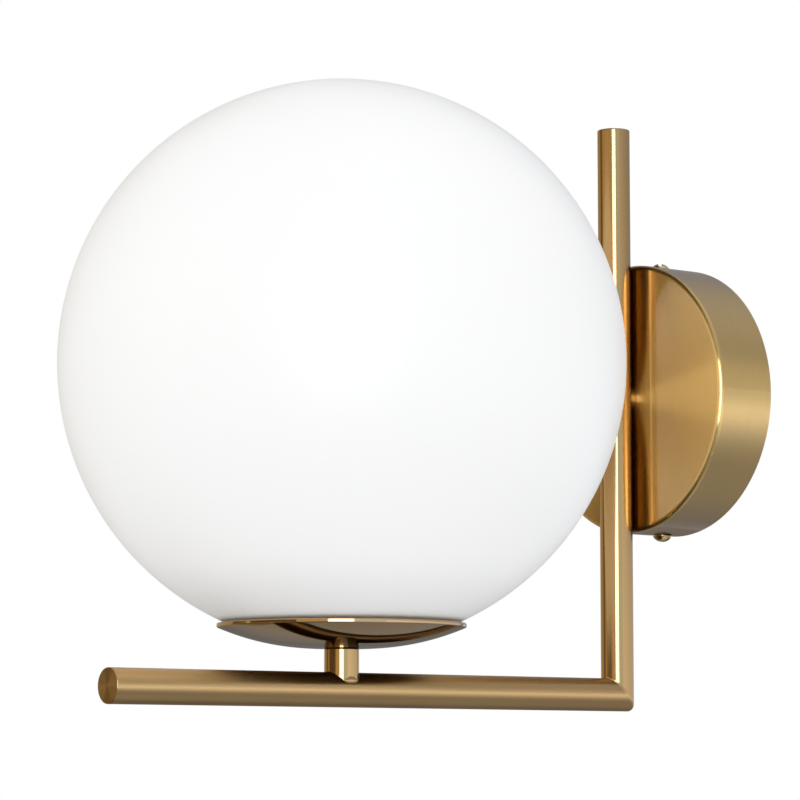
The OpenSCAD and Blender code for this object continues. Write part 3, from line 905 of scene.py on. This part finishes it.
@dataclass(frozen=True)
class TubeFrame:
    """The L of tube, brazed at its mitred corner, with its end plugs and the dish's stem."""

    at: Datum
    wall: float = 1.0 * MM
    flange: float = 0.8 * MM
    edge: float = 0.3 * MM
    corner_round: float = 1.5 * MM
    corner_steps: int = 8
    inner_share: float = 0.3
    seam: float = 0.4 * MM
    shoulder_r: float = 3.0 * MM
    shoulder_rise: float = 2.2 * MM
    shoulder_steps: int = 8
    braze: float = 0.7 * MM
    braze_steps: int = 5
    braze_from: float = 0.6
    halvings: int = 40

    def build(self) -> None:
        """Make the frame, its plugs and the stem."""
        self.build_tubes()
        self.build_plug("top_plug", "upright_plug", Stand.UP,
                        Vector((0, self.at.upright_y, self.at.upright_top)), upright_brass(self.at))
        self.build_plug("tip_plug", "arm_plug", Stand.OUT,
                        Vector((0, self.at.arm_tip, self.at.arm_z)), arm_brass(self.at))
        self.build_stem()

    def bend(self, reach: float, turn: float, along: float) -> Vector:
        """Return a point of the tubes' skin.

        The skin's lines run down the upright, round the corner and out along the arm.

        Args:
            reach: Distance of the skin from the tube's axis.
            turn: Angle round the tube, in radians.
            along: From 0 where the corner's rounding starts to 1 where it ends. Less or more is straight
                on, in metres past the rounding.

        Returns:
            The point.
        """
        out = reach * math.sin(turn)
        share = (out / self.at.tube_r + 1) / 2
        radius = self.corner_round * (self.inner_share + (1 - self.inner_share) * share)
        swing = min(max(along, 0.0), 1.0) * math.pi / 2
        before, past = max(-along, 0.0), max(along - 1, 0.0)
        return Vector((
            reach * math.cos(turn),
            self.at.upright_y + out - radius + radius * math.cos(swing) - past,
            self.at.arm_z - out + radius - radius * math.sin(swing) + before,
        ))

    def build_tubes(self) -> None:
        """Draw the tubes and their bore from ring to ring, round one brazed corner."""
        at = self.at
        top, tip = at.upright_top - self.flange, at.arm_tip + self.flange

        def ring(reach: float, along: float) -> Ring:
            """Return a ring of the skin in or near the corner."""
            return lambda a: self.bend(reach, a, along)

        def top_end(reach: float, height: float) -> Ring:
            """Return a level ring of the upright."""
            return lambda a: Vector((reach * math.cos(a), at.upright_y + reach * math.sin(a), height))

        def tip_end(reach: float, place: float) -> Ring:
            """Return an upright ring of the arm."""
            return lambda a: Vector((reach * math.cos(a), place, at.arm_z - reach * math.sin(a)))

        corner = [-self.seam] + [step / self.corner_steps for step in range(self.corner_steps + 1)]
        corner.append(1 + self.seam)
        rings = []
        for reach, backwards in ((at.tube_r, False), (at.tube_r - self.wall, True)):
            path = [top_end(reach, top), top_end(reach, top - self.seam)]
            path += [ring(reach, along) for along in corner]
            path += [tip_end(reach, tip + self.seam), tip_end(reach, tip)]
            rings += reversed(path) if backwards else path
        mesh = lofted(rings, closed=True)
        for face in mesh.faces:
            middle = face.calc_center_median()
            face.material_index = int(middle.y - at.upright_y < at.arm_z - middle.z + TINY)
        make_piece(
            "tube_frame", mesh, (upright_brass(at), arm_brass(at)), Body.LAMP,
            ("upright_tube", "arm_tube"), crease=60,
        )

    def build_plug(self, name: str, node: str, stand: Stand, face: Vector, finish: TurnedMetal) -> None:
        """Make the plug that closes one end of the tube.

        Args:
            name: Name of the piece.
            node: Node that it stands for.
            stand: Way that its face looks.
            face: Centre of its face.
            finish: Finish of the plug.
        """
        r, spigot = self.at.tube_r, self.at.tube_r - self.wall - CLEARANCE
        size = Span.of(node).size
        depth = size.z if stand is Stand.UP else size.y
        outline = (
            Outline(0, 0).corner(r, 0, self.edge).line(r, -self.flange)
            .line(spigot, -self.flange).corner(spigot, -depth, self.edge).line(0, -depth)
        )
        piece = make_piece(name, outline.turned(), (finish,), Body.LAMP, (node,),
                           stand.matrix(face))
        level_normals(piece)

    def shoulder_height(self, reach: float) -> float:
        """Height over the arm's centre line at which the stem's shoulder has a half width."""
        past = max(reach - self.at.tube_r + self.shoulder_r, 0.0)
        return self.shoulder_rise + self.shoulder_r - math.sqrt(max(self.shoulder_r ** 2 - past ** 2, 0.0))

    def saddle_height(self, reach: float) -> float:
        """Height of the arm's skin over its centre line, at a distance across it."""
        return math.sqrt(max(self.at.tube_r ** 2 - reach ** 2, 0.0))

    def saddle_reach(self) -> float:
        """Find where the stem's shoulders meet the arm.

        Returns:
            The half width of the stem there.
        """
        low, high = self.at.tube_r - self.shoulder_r, self.at.tube_r
        for _ in range(self.halvings):
            middle = (low + high) / 2
            if self.saddle_height(middle) > self.shoulder_height(middle):
                low = middle
            else:
                high = middle
        return low

    def build_stem(self) -> None:
        """Make the coped stem with rounded shoulders, a bead of brazing and a chamfer at its top."""
        at, r = self.at, self.at.tube_r
        bore = Span.of("stem_tube").size.x / 2 + CLEARANCE
        top = Span.of("stem").high.z - at.arm_z
        foot = Vector((0, at.globe_y, at.arm_z))
        widest = self.saddle_reach()

        def level(reach: float, height: float) -> Ring:
            """Return a level ring about the stem's axis."""
            return lambda a: foot + Vector((reach * math.cos(a), reach * math.sin(a), height))

        def side(a: float, share: float) -> Vector:
            """Return a point of the skin, from the straight wall at 0 down to the arm at 1."""
            wide = r * abs(math.cos(a))
            meet = min(wide, widest)
            across = wide + (meet - wide) * share ** 2
            start = max(self.shoulder_height(wide), self.saddle_height(wide)) + self.braze
            height = self.saddle_height(meet) if wide <= meet else self.shoulder_height(across)
            height = start + (height - start) * (share if wide <= meet else 1.0)
            return Vector((math.copysign(across, math.cos(a)), r * math.sin(a), height))

        def skin(share: float) -> Ring:
            """Return the ring of the skin at a share of its way from the wall to the arm."""
            return lambda a: foot + side(a, share)

        def bead(share: float) -> Ring:
            """Return the ring of the brazing's bead at a share of its way from the stem to the arm."""
            def point(a: float) -> Vector:
                """Return the bead's point at an angle."""
                meet, high = side(a, 1.0), side(a, self.braze_from)
                away = meet + self.braze * Vector((math.cos(a), math.sin(a), 0))
                away.z = self.saddle_height(away.x)
                return foot + (1 - share) ** 2 * high + 2 * share * (1 - share) * meet + share ** 2 * away
            return point

        def hollow(a: float) -> Vector:
            """Return the point of the bore's edge on the arm."""
            across = bore * math.cos(a)
            return foot + Vector((across, bore * math.sin(a), self.saddle_height(across)))

        rings = [level(bore, top), level(r - self.seam, top), level(r, top - self.seam)]
        rings += [skin(self.braze_from * step / self.shoulder_steps) for step in range(self.shoulder_steps)]
        rings += [bead(step / self.braze_steps) for step in range(self.braze_steps + 1)]
        rings.append(hollow)
        mesh = lofted(rings, closed=True)
        piece = make_piece("dish_stem", mesh, (stem_brass(at),), Body.LAMP, ("stem",))
        level_normals(piece)


# Dish and globe


@dataclass(frozen=True)
class Dish:
    """Spun dish with an upright lip."""

    at: Datum
    wall: float = 1.0 * MM
    lip: float = 1.4 * MM
    flat_r: float = 8.0 * MM
    edge: float = 0.25 * MM
    steps: int = 40
    rim_steps: int = 10

    def build(self) -> None:
        """Make the dish."""
        span, hole = Span.of("dish"), Span.of("stem_tube").size.x / 2 + CLEARANCE
        r, side = span.size.x / 2, span.size.z - self.lip
        reach = r - self.flat_r
        arc_r = (reach ** 2 + side ** 2) / (2 * side)
        turn = math.asin(reach / arc_r)
        inner_turn = math.asin((reach - self.wall) / (arc_r - self.wall))
        inner_top = arc_r - (arc_r - self.wall) * math.cos(inner_turn)
        rim, rim_z = self.wall / 2, span.size.z - self.wall / 2
        outline = Outline(hole, 0).line(self.flat_r, 0).arc(self.flat_r, arc_r, turn, self.steps)
        outline.rounded(self.edge).line(r, rim_z).arc(r - rim, rim_z, math.pi, self.rim_steps)
        outline.line(r - self.wall, inner_top).arc(self.flat_r, arc_r, -inner_turn, self.steps)
        outline.line(hole, self.wall).close()
        piece = make_piece(
            "dish_plate", outline.turned(FINE_STEPS), (dish_brass(self.at),), Body.LAMP,
            ("dish",), Stand.UP.matrix(Vector((0, self.at.globe_y, span.low.z))), crease=25,
        )
        level_normals(piece)


@dataclass(frozen=True)
class Globe:
    """Opal glass globe with a ground mouth."""

    at: Datum
    wall: float = 3.0 * MM
    edge: float = 0.6 * MM
    edge_steps: int = 4
    steps: int = 96

    def build(self) -> None:
        """Make the globe."""
        span = Span.of("globe")
        r = span.size.x / 2
        centre = span.high.z - r
        mouth = math.sqrt(r * r - (centre - span.low.z) ** 2)
        inner = r - self.wall
        outer_turn = math.pi - math.asin(mouth / r)
        inner_turn = math.pi - math.asin(mouth / inner)
        outline = Outline(0, r).arc(0, 0, -outer_turn, self.steps).rounded(self.edge, self.edge_steps)
        outline.corner(mouth, -inner * math.cos(math.asin(mouth / inner)), self.edge, self.edge_steps)
        outline.arc(0, 0, inner_turn, self.steps)
        make_piece(
            "glass_globe", outline.turned(FINE_STEPS), (OpalGlass(span.low.z),), Body.GLOBE,
            ("globe",), Stand.UP.matrix(Vector((0, self.at.globe_y, centre))), crease=60,
        )


# Named finishes

BRUSHED: Colour = (0.60, 0.37, 0.155)
CANOPY: Colour = (0.70, 0.43, 0.12)
POLISHED: Colour = (0.62, 0.42, 0.22)
TUBE = {"stretch": 0.95, "line_depth": 0.02e-6, "tone": 0.02, "smudge": 0.15}


def upright_brass(at: Datum) -> TurnedMetal:
    """Return the brushed brass of the upright tube."""
    return TurnedMetal("upright_brass", BRUSHED, 0.18, (0, at.upright_y, 0), Stand.UP, **TUBE)


def arm_brass(at: Datum) -> TurnedMetal:
    """Return the brushed brass of the arm."""
    return TurnedMetal("arm_brass", BRUSHED, 0.3, (0, 0, at.arm_z), Stand.OUT, **TUBE)


def stem_brass(at: Datum) -> TurnedMetal:
    """Return the brass of the stem."""
    return TurnedMetal("stem_brass", BRUSHED, 0.12, (0, at.globe_y, 0), Stand.UP)


def dish_brass(at: Datum) -> TurnedMetal:
    """Return the polished brass of the dish."""
    return TurnedMetal("dish_brass", POLISHED, 0.05, (0, at.globe_y, 0), Stand.UP, fineness=2500,
                       line_depth=0.2e-6, tone=0.05)


def canopy_brass() -> TurnedMetal:
    """Return the brushed brass of the canopy."""
    # Its front face carries a painted sheen, a brighter copy of the brass colour.
    return TurnedMetal("canopy_brass", CANOPY, 0.31, (0, 0, 0), Stand.OUT, stretch=1.0, tone=0.1,
                       line_depth=0.1e-6, end_painted_sheen=1.22, edge_shine=0.6, lacquer=1.0)


class Plain(Enum):
    """Finishes of the small fittings."""

    POLISHED = Moulded("polished_fitting", (0.92, 0.62, 0.27), 0.1, metallic=1.0)
    BRASS = Moulded("plain_brass", (0.78, 0.56, 0.26), 0.23, metallic=1.0)
    BRONZE = Moulded("spring_bronze", (0.62, 0.37, 0.14), 0.22, metallic=1.0)
    COPPER = Moulded("tinned_copper", (0.72, 0.70, 0.66), 0.34, metallic=1.0)
    ZINC = Moulded("zinc_steel", (0.60, 0.62, 0.65), 0.34, metallic=1.0, worn=(0.78, 0.79, 0.8))
    NICKEL = Moulded("nickel", (0.68, 0.66, 0.62), 0.16, metallic=1.0)
    SOLDER = Moulded("solder", (0.62, 0.62, 0.63), 0.35, metallic=1.0)
    ALUMINIUM = Moulded("ring_aluminium", (0.76, 0.77, 0.78), 0.34, metallic=1.0)
    PORCELAIN = Moulded("porcelain", (0.86, 0.85, 0.81), 0.3, coat=1.0, grain_size=2e-3, grain_depth=10e-6)
    SILICONE = Moulded("silicone", (0.82, 0.82, 0.80), 0.55)
    NYLON = Moulded("white_nylon", (0.84, 0.84, 0.82), 0.45)
    OPAL_PLASTIC = Moulded("opal_plastic", (0.92, 0.92, 0.90), 0.4, grain_depth=2e-6)
    WHITE_PLASTIC = Moulded("white_plastic", (0.87, 0.87, 0.86), 0.35)
    BLACK_PLASTIC = Moulded("black_plastic", (0.02, 0.02, 0.022), 0.3)
    BROWN_LEAD = Moulded("brown_insulation", (0.16, 0.06, 0.025), 0.4)
    BLUE_LEAD = Moulded("blue_insulation", (0.03, 0.15, 0.48), 0.4)


DRESSED_NODES = {
    "bulb_dome": Plain.OPAL_PLASTIC, "live_lead": Plain.BROWN_LEAD, "neutral_lead": Plain.BLUE_LEAD,
}


# Fittings


@dataclass(frozen=True)
class Fitting:
    """Small fitting whose sharp edges are broken by a little round."""

    node: str
    finish: Plain
    edge: float = 0.12 * MM
    segments: int = 2

    def build(self) -> None:
        """Make the fitting from a copy of its node."""
        source = frame["nodes"][self.node]
        mesh = bmesh.new()
        mesh.from_mesh(source.data)
        bmesh.ops.remove_doubles(mesh, verts=mesh.verts, dist=TINY)
        bmesh.ops.dissolve_limit(mesh, angle_limit=FLAT_ANGLE, verts=mesh.verts, edges=mesh.edges)
        piece = make_piece(
            f"{self.node}_finished", mesh, (self.finish.value,), Body(body_of(source)[0]),
            (self.node,),
        )
        bevel = piece.modifiers.new("Broken edges", "BEVEL")
        bevel.width, bevel.segments = self.edge, self.segments
        bevel.limit_method, bevel.angle_limit = "ANGLE", EDGE_ANGLE
        level_normals(piece)


FITTINGS = (
    Fitting("wall_bracket", Plain.ZINC, 0.3 * MM), Fitting("earth_screw", Plain.BRASS),
    Fitting("earth_washer", Plain.ZINC, 0.08 * MM), Fitting("earth_tag", Plain.COPPER),
    Fitting("terminal_block", Plain.NYLON, 0.3 * MM), Fitting("terminal_sleeves", Plain.BRASS),
    Fitting("terminal_screws", Plain.ZINC), Fitting("block_screws", Plain.ZINC),
    Fitting("canopy_screw_top", Plain.POLISHED), Fitting("canopy_screw_bottom", Plain.POLISHED),
    Fitting("mount_collar", Plain.BRONZE), Fitting("mount_tube", Plain.ZINC, 0.3 * MM),
    Fitting("mount_washer", Plain.ZINC, 0.08 * MM), Fitting("mount_nut", Plain.ZINC, 0.2 * MM),
    Fitting("mount_bush", Plain.WHITE_PLASTIC, 0.3 * MM), Fitting("stem_tube", Plain.ZINC, 0.3 * MM),
    Fitting("dish_nut", Plain.ZINC, 0.2 * MM), Fitting("gallery", Plain.ZINC, 0.2 * MM),
    Fitting("globe_gasket", Plain.SILICONE, 0.4 * MM), Fitting("globe_ring", Plain.ALUMINIUM, 0.2 * MM),
    Fitting("holder_cup", Plain.PORCELAIN, 0.6 * MM), Fitting("holder_insert", Plain.PORCELAIN, 0.4 * MM),
    Fitting("holder_skirt", Plain.PORCELAIN, 0.6 * MM), Fitting("holder_sleeve", Plain.NICKEL),
    Fitting("centre_contact", Plain.BRONZE, 0.15 * MM),
    Fitting("bulb_housing", Plain.WHITE_PLASTIC, 0.2 * MM),
    Fitting("bulb_insulator", Plain.BLACK_PLASTIC, 0.3 * MM),
    Fitting("bulb_contact", Plain.SOLDER, 0.2 * MM),
)


@dataclass(frozen=True)
class ScrewCap:
    """The bulb's cap with its rolled thread."""

    at: Datum
    foot_step: float = 3.0 * MM
    taper: float = 2.5 * MM
    pitch: float = 25.4 * MM / 7
    depth: float = 0.9 * MM
    run_out: float = 2.0 * MM
    rings: int = 84

    def build(self) -> None:
        """Make the cap from ring to ring, with the thread rolled into its wall."""
        span = Span.of("bulb_cap")
        r, height = span.size.x / 2, span.size.z

        def ring(reach: float, rise: float) -> Ring:
            """Return a ring of the cap's wall at a height over its foot."""
            ends = min(rise - self.taper, height - rise) / self.run_out
            cut = self.depth * min(max(ends, 0.0), 1.0) / 2

            def point(a: float) -> Vector:
                """Return the ring's point at an angle."""
                here = reach - cut * (1 - math.cos(math.tau * rise / self.pitch - a))
                return Vector((here * math.cos(a), self.at.globe_y + here * math.sin(a), span.low.z + rise))
            return point

        rise_step = (height - self.taper) / self.rings
        rings = [ring(0, 0), ring(r - self.foot_step, 0)]
        rings += [ring(r, self.taper + step * rise_step) for step in range(self.rings + 1)]
        mesh = lofted(rings + [ring(0, height)], closed=False)
        make_piece("screw_cap", mesh, (Plain.NICKEL.value,), Body.BULB, ("bulb_cap",))


# Studio


@dataclass(frozen=True)
class Panel:
    """Slice of the dome round the lamp that only reflections show.

    Its turn runs from start to end, in degrees from the camera's direction. Each stop is an elevation
    in degrees and the glow there, which level scales. Fade is the share of the glow at its end, echo the
    share that reflections of reflections show.
    """

    name: str
    start: float
    end: float
    stops: tuple[tuple[float, float], ...]
    tint: Colour = (1.0, 1.0, 1.0)
    level: float = 1.0
    fade: float = 1.0
    echo: float = 0.35


WARM: Colour = (1.0, 0.82, 0.5)
COOL: Colour = (0.99, 1.07, 1.22)
BAND = (
    (-90, 0.06), (-60, 0.08), (-32, 0.4), (-10, 0.9), (2, 1.0), (12, 1.0), (28, 0.8), (50, 0.3), (70, 0.06),
    (90, 0.06),
)

PANELS = (
    Panel("strip_light", -11, 12, ((-90, 0.2), (-15, 0.3), (-11, 5.0), (27, 5.0), (30, 0.4), (90, 0.4)),
          (1.0, 1.05, 1.2), echo=0.8),
    Panel("side_card", 12, 42, ((-90, 0.2), (-40, 0.3), (-9, 0.8), (6, 0.7), (40, 0.5), (90, 0.4)),
          (1.0, 1.25, 1.5), echo=0.3),
    Panel("window_card", 42, 165,
          ((-90, 0.64), (-60, 0.58), (-45, 0.46), (-32, 0.42), (-24, 0.58), (-11, 1.08), (-5, 1.3),
           (-1, 1.25), (6, 0.82), (14, 0.57), (24, 0.5), (40, 0.62), (60, 0.8), (90, 0.85)),
          COOL, fade=0.5, echo=0.06),
    Panel("wall_card", 165, 195, ((-90, 0.2), (-30, 0.28), (-12, 0.16), (-1, 0.16), (1, 0.3), (90, 0.3))),
    Panel("far_card", -165, -117, BAND, WARM, level=0.5, fade=0.9),
    Panel("dim_card", -117, -96, BAND, WARM, level=0.15, fade=1.7),
    Panel("left_card", -96, -11, BAND, WARM, level=0.56, fade=1.12),
)


@dataclass(frozen=True)
class Lamp:
    """Soft round lamp, with its turn from the camera's direction and its rise in degrees."""

    name: str
    turn: float
    rise: float
    power: float
    size: float = 1.2
    reach: float = 2.0


LAMPS = (Lamp("key", -20, 25, 2.4), Lamp("fill", 10, -25, 5.5))


@dataclass(frozen=True)
class Studio:
    """Pale floor, soft lamps, reflection panels, a dark card, white backdrop and the camera."""

    at: Datum
    camera_place: tuple[float, float, float] = (0.90509, -0.82915, -0.13647)
    camera_azimuth: float = 52.394
    camera_rise: float = 6.435
    lens: float = 147.21
    floor_z: float = -0.45
    floor_r: float = 2.6
    paper: tuple[Colour, Colour] = ((0.86, 0.86, 0.86), (0.9, 0.9, 0.9))
    paper_roughness: float = 0.8
    fibre_scale: float = 60.0
    panel_r: float = 1.6
    panel_rise_steps: int = 48
    panel_turn_steps: int = 24
    ambient: float = 0.98
    once_seen: float = 1.5
    twice_seen: float = 2.5
    last_echo: float = 0.1
    flag_turn: float = -64.0
    flag_reach: float = 0.6
    flag_size: tuple[float, float] = (0.55, 0.19)
    flag_cloth: Colour = (0.13, 0.1, 0.06)

    @property
    def towards_camera(self) -> float:
        """Direction of the camera in the floor plane, in degrees from +X."""
        return self.camera_azimuth - 90

    def build(self) -> None:
        """Set up everything around the lamp."""
        self.build_camera()
        self.build_world()
        self.build_floor()
        for panel in PANELS:
            self.build_panel(panel)
        self.build_flag()
        self.build_lamps()
        bpy.context.scene.view_settings.view_transform = "Standard"

    def build_camera(self) -> None:
        """Place the camera where the photograph was taken."""
        camera = bpy.data.objects.new("camera", bpy.data.cameras.new("camera"))
        camera.data.lens = self.lens
        camera.location = self.camera_place
        camera.rotation_euler = (math.radians(90 + self.camera_rise), 0, math.radians(self.camera_azimuth))
        bpy.context.scene.collection.objects.link(camera)
        bpy.context.scene.camera = camera

    def build_world(self) -> None:
        """Make the backdrop white where it is seen, and plain light otherwise."""
        world = bpy.data.worlds.new("studio")
        world.use_nodes = True
        bpy.context.scene.world = world
        graph = Graph(world.node_tree)
        path, background = graph.add("LightPath"), graph.add("Background")
        seen = graph.math("MAXIMUM", path.outputs["Is Camera Ray"], path.outputs["Is Glossy Ray"])
        seen = graph.math("MAXIMUM", seen, path.outputs["Is Transmission Ray"])
        graph.feed(background.inputs["Strength"], graph.remap(seen, self.ambient, 1.0))
        background.inputs["Color"].default_value = (1, 1, 1, 1)
        graph.feed(graph.add("OutputWorld").inputs["Surface"], background.outputs[0])

    def build_floor(self) -> None:
        """Lay the pale floor under the lamp."""
        mesh = bmesh.new()
        bmesh.ops.create_circle(mesh, cap_ends=True, segments=ROUND_STEPS, radius=self.floor_r,
                                matrix=Matrix.Translation((0, self.at.globe_y, self.floor_z)))
        floor = self.stand("floor", mesh)
        floor.visible_glossy = False
        material, graph, shader, place = start_material("floor_paper")
        grey = graph.mix(graph.noise(place, self.fibre_scale), *self.paper)
        above = graph.remap(graph.add("NewGeometry").outputs["Backfacing"], 1.0, 0.0)
        graph.wire(shader, Base_Color=grey, Roughness=self.paper_roughness, Alpha=above)
        floor.data.materials.append(material)

    def stand(self, name: str, mesh: BMesh) -> bpy.types.Object:
        """Put a stage object in the scene.

        Args:
            name: Name of the object.
            mesh: Its shape, which is used up.

        Returns:
            The new object.
        """
        stage_object = new_object(name, mesh)
        return stage_object

    def only_reflected(self, card: bpy.types.Object) -> None:
        """Hide a card from everything but reflections."""
        card.visible_camera = card.visible_diffuse = card.visible_shadow = False
        card.visible_transmission = card.visible_volume_scatter = False

    def build_flag(self) -> None:
        """Hang the dark card that only reflections show, as the stem does."""
        angle = math.radians(self.towards_camera + self.flag_turn)
        away = Vector((math.cos(angle), math.sin(angle), 0))
        place = Vector((0, self.at.globe_y, self.at.dish_z)) + self.flag_reach * away
        mesh = bmesh.new()
        bmesh.ops.create_grid(mesh, x_segments=1, y_segments=1, size=0.5,
                              matrix=Matrix.Diagonal((*self.flag_size, 1, 1)))
        bmesh.ops.transform(mesh, verts=mesh.verts, matrix=Matrix.Translation(place)
                            @ away.to_track_quat("Z", "Y").to_matrix().to_4x4())
        flag = self.stand("flag", mesh)
        self.only_reflected(flag)
        material, graph, shader, _ = start_material("flag_cloth")
        graph.wire(shader, Base_Color=(*self.flag_cloth, 1), Roughness=1.0, Specular_IOR_Level=0.0)
        flag.data.materials.append(material)

    def build_panel(self, panel: Panel) -> None:
        """Bend one slice of the dome round the lamp and make it glow.

        Args:
            panel: Turn, elevations and levels of the slice.
        """
        centre = Vector((0, self.at.globe_y, self.at.arm_z))
        turn = math.radians(self.towards_camera + panel.start)
        width = math.radians(panel.end - panel.start)
        mesh = bmesh.new()
        lowest = mesh.verts.new((0, 0, -self.panel_r))
        bmesh.ops.spin(mesh, geom=[lowest], cent=(0, 0, 0), axis=(0, -1, 0), angle=math.pi,
                       steps=self.panel_rise_steps)
        bmesh.ops.spin(mesh, geom=mesh.verts[:] + mesh.edges[:], cent=(0, 0, 0), axis=(0, 0, 1),
                       angle=width, steps=self.panel_turn_steps)
        bmesh.ops.remove_doubles(mesh, verts=mesh.verts, dist=MM)
        bmesh.ops.transform(mesh, matrix=Matrix.Translation(centre) @ Matrix.Rotation(turn, 4, "Z"),
                            verts=mesh.verts)
        card = self.stand(panel.name, mesh)
        self.only_reflected(card)
        material = bpy.data.materials.new(panel.name)
        material.use_nodes = True
        card.data.materials.append(material)
        graph = Graph(material.node_tree)
        turned = graph.add("VectorRotate", rotation_type="Z_AXIS")
        graph.wire(turned, Vector=graph.add("NewGeometry").outputs["Position"], Center=centre, Angle=-turn)
        away = graph.add("SeparateXYZ")
        graph.feed(away.inputs[0], graph.vector("SUBTRACT", turned.outputs[0], tuple(centre)))
        x, y, z = away.outputs
        rise = graph.math("DIVIDE", graph.math("ARCTAN2", z, graph.flat_length(x, y)), math.pi)
        levels = graph.add("ValToRGB")
        graph.feed(levels.inputs[0], graph.math("ADD", rise, 0.5))
        ramp = levels.color_ramp
        # A new ramp already holds two stops.
        for place, (elevation, level) in enumerate(panel.stops):
            position = elevation / 180 + 0.5
            stop = ramp.elements[place] if place < 2 else ramp.elements.new(position)
            stop.position = position
            stop.color = (level, level, level, 1)
        across = graph.math("DIVIDE", graph.math("ARCTAN2", y, x), width)
        glow_here = graph.remap(across, panel.level, panel.level * panel.fade)
        strength = graph.math("MULTIPLY", levels.outputs["Color"], glow_here)
        depth = graph.add("LightPath").outputs["Glossy Depth"]
        for seen, echo in ((self.once_seen, panel.echo), (self.twice_seen, self.last_echo)):
            share = graph.remap(graph.math("GREATER_THAN", depth, seen), 1.0, echo)
            strength = graph.math("MULTIPLY", strength, share)
        glow = graph.wire(graph.add("Emission"), Color=(*panel.tint, 1), Strength=strength)
        graph.feed(graph.add("OutputMaterial").inputs["Surface"], glow.outputs[0])

    def build_lamps(self) -> None:
        """Hang the soft lamps that shape the pale pieces."""
        middle = Vector((0, self.at.globe_y, 0))
        for lamp in LAMPS:
            angle, lift = math.radians(self.towards_camera + lamp.turn), math.radians(lamp.rise)
            flat = math.cos(lift)
            away = Vector((math.cos(angle) * flat, math.sin(angle) * flat, math.sin(lift)))
            light = bpy.data.objects.new(lamp.name, bpy.data.lights.new(lamp.name, "AREA"))
            light.data.shape = "DISK"
            light.data.size = lamp.size
            light.data.energy = lamp.power
            light.location = middle + lamp.reach * away
            light.rotation_euler = away.to_track_quat("Z", "Y").to_euler()
            light.visible_glossy = False
            bpy.context.scene.collection.objects.link(light)


def main() -> None:
    """Build the lamp, its studio and its camera."""
    logging.basicConfig(level=logging.INFO, format="%(name)s %(message)s")
    at = Datum.measured()
    Studio(at).build()
    TubeFrame(at).build()
    Dish(at).build()
    Globe(at).build()
    dress("canopy", canopy_brass())
    dress("earth_lead", StripedInsulation())
    for fitting in FITTINGS:
        fitting.build()
    ScrewCap(at).build()
    for node, finish in DRESSED_NODES.items():
        dress(node, finish.value)


if __name__ == "__main__":
    main()
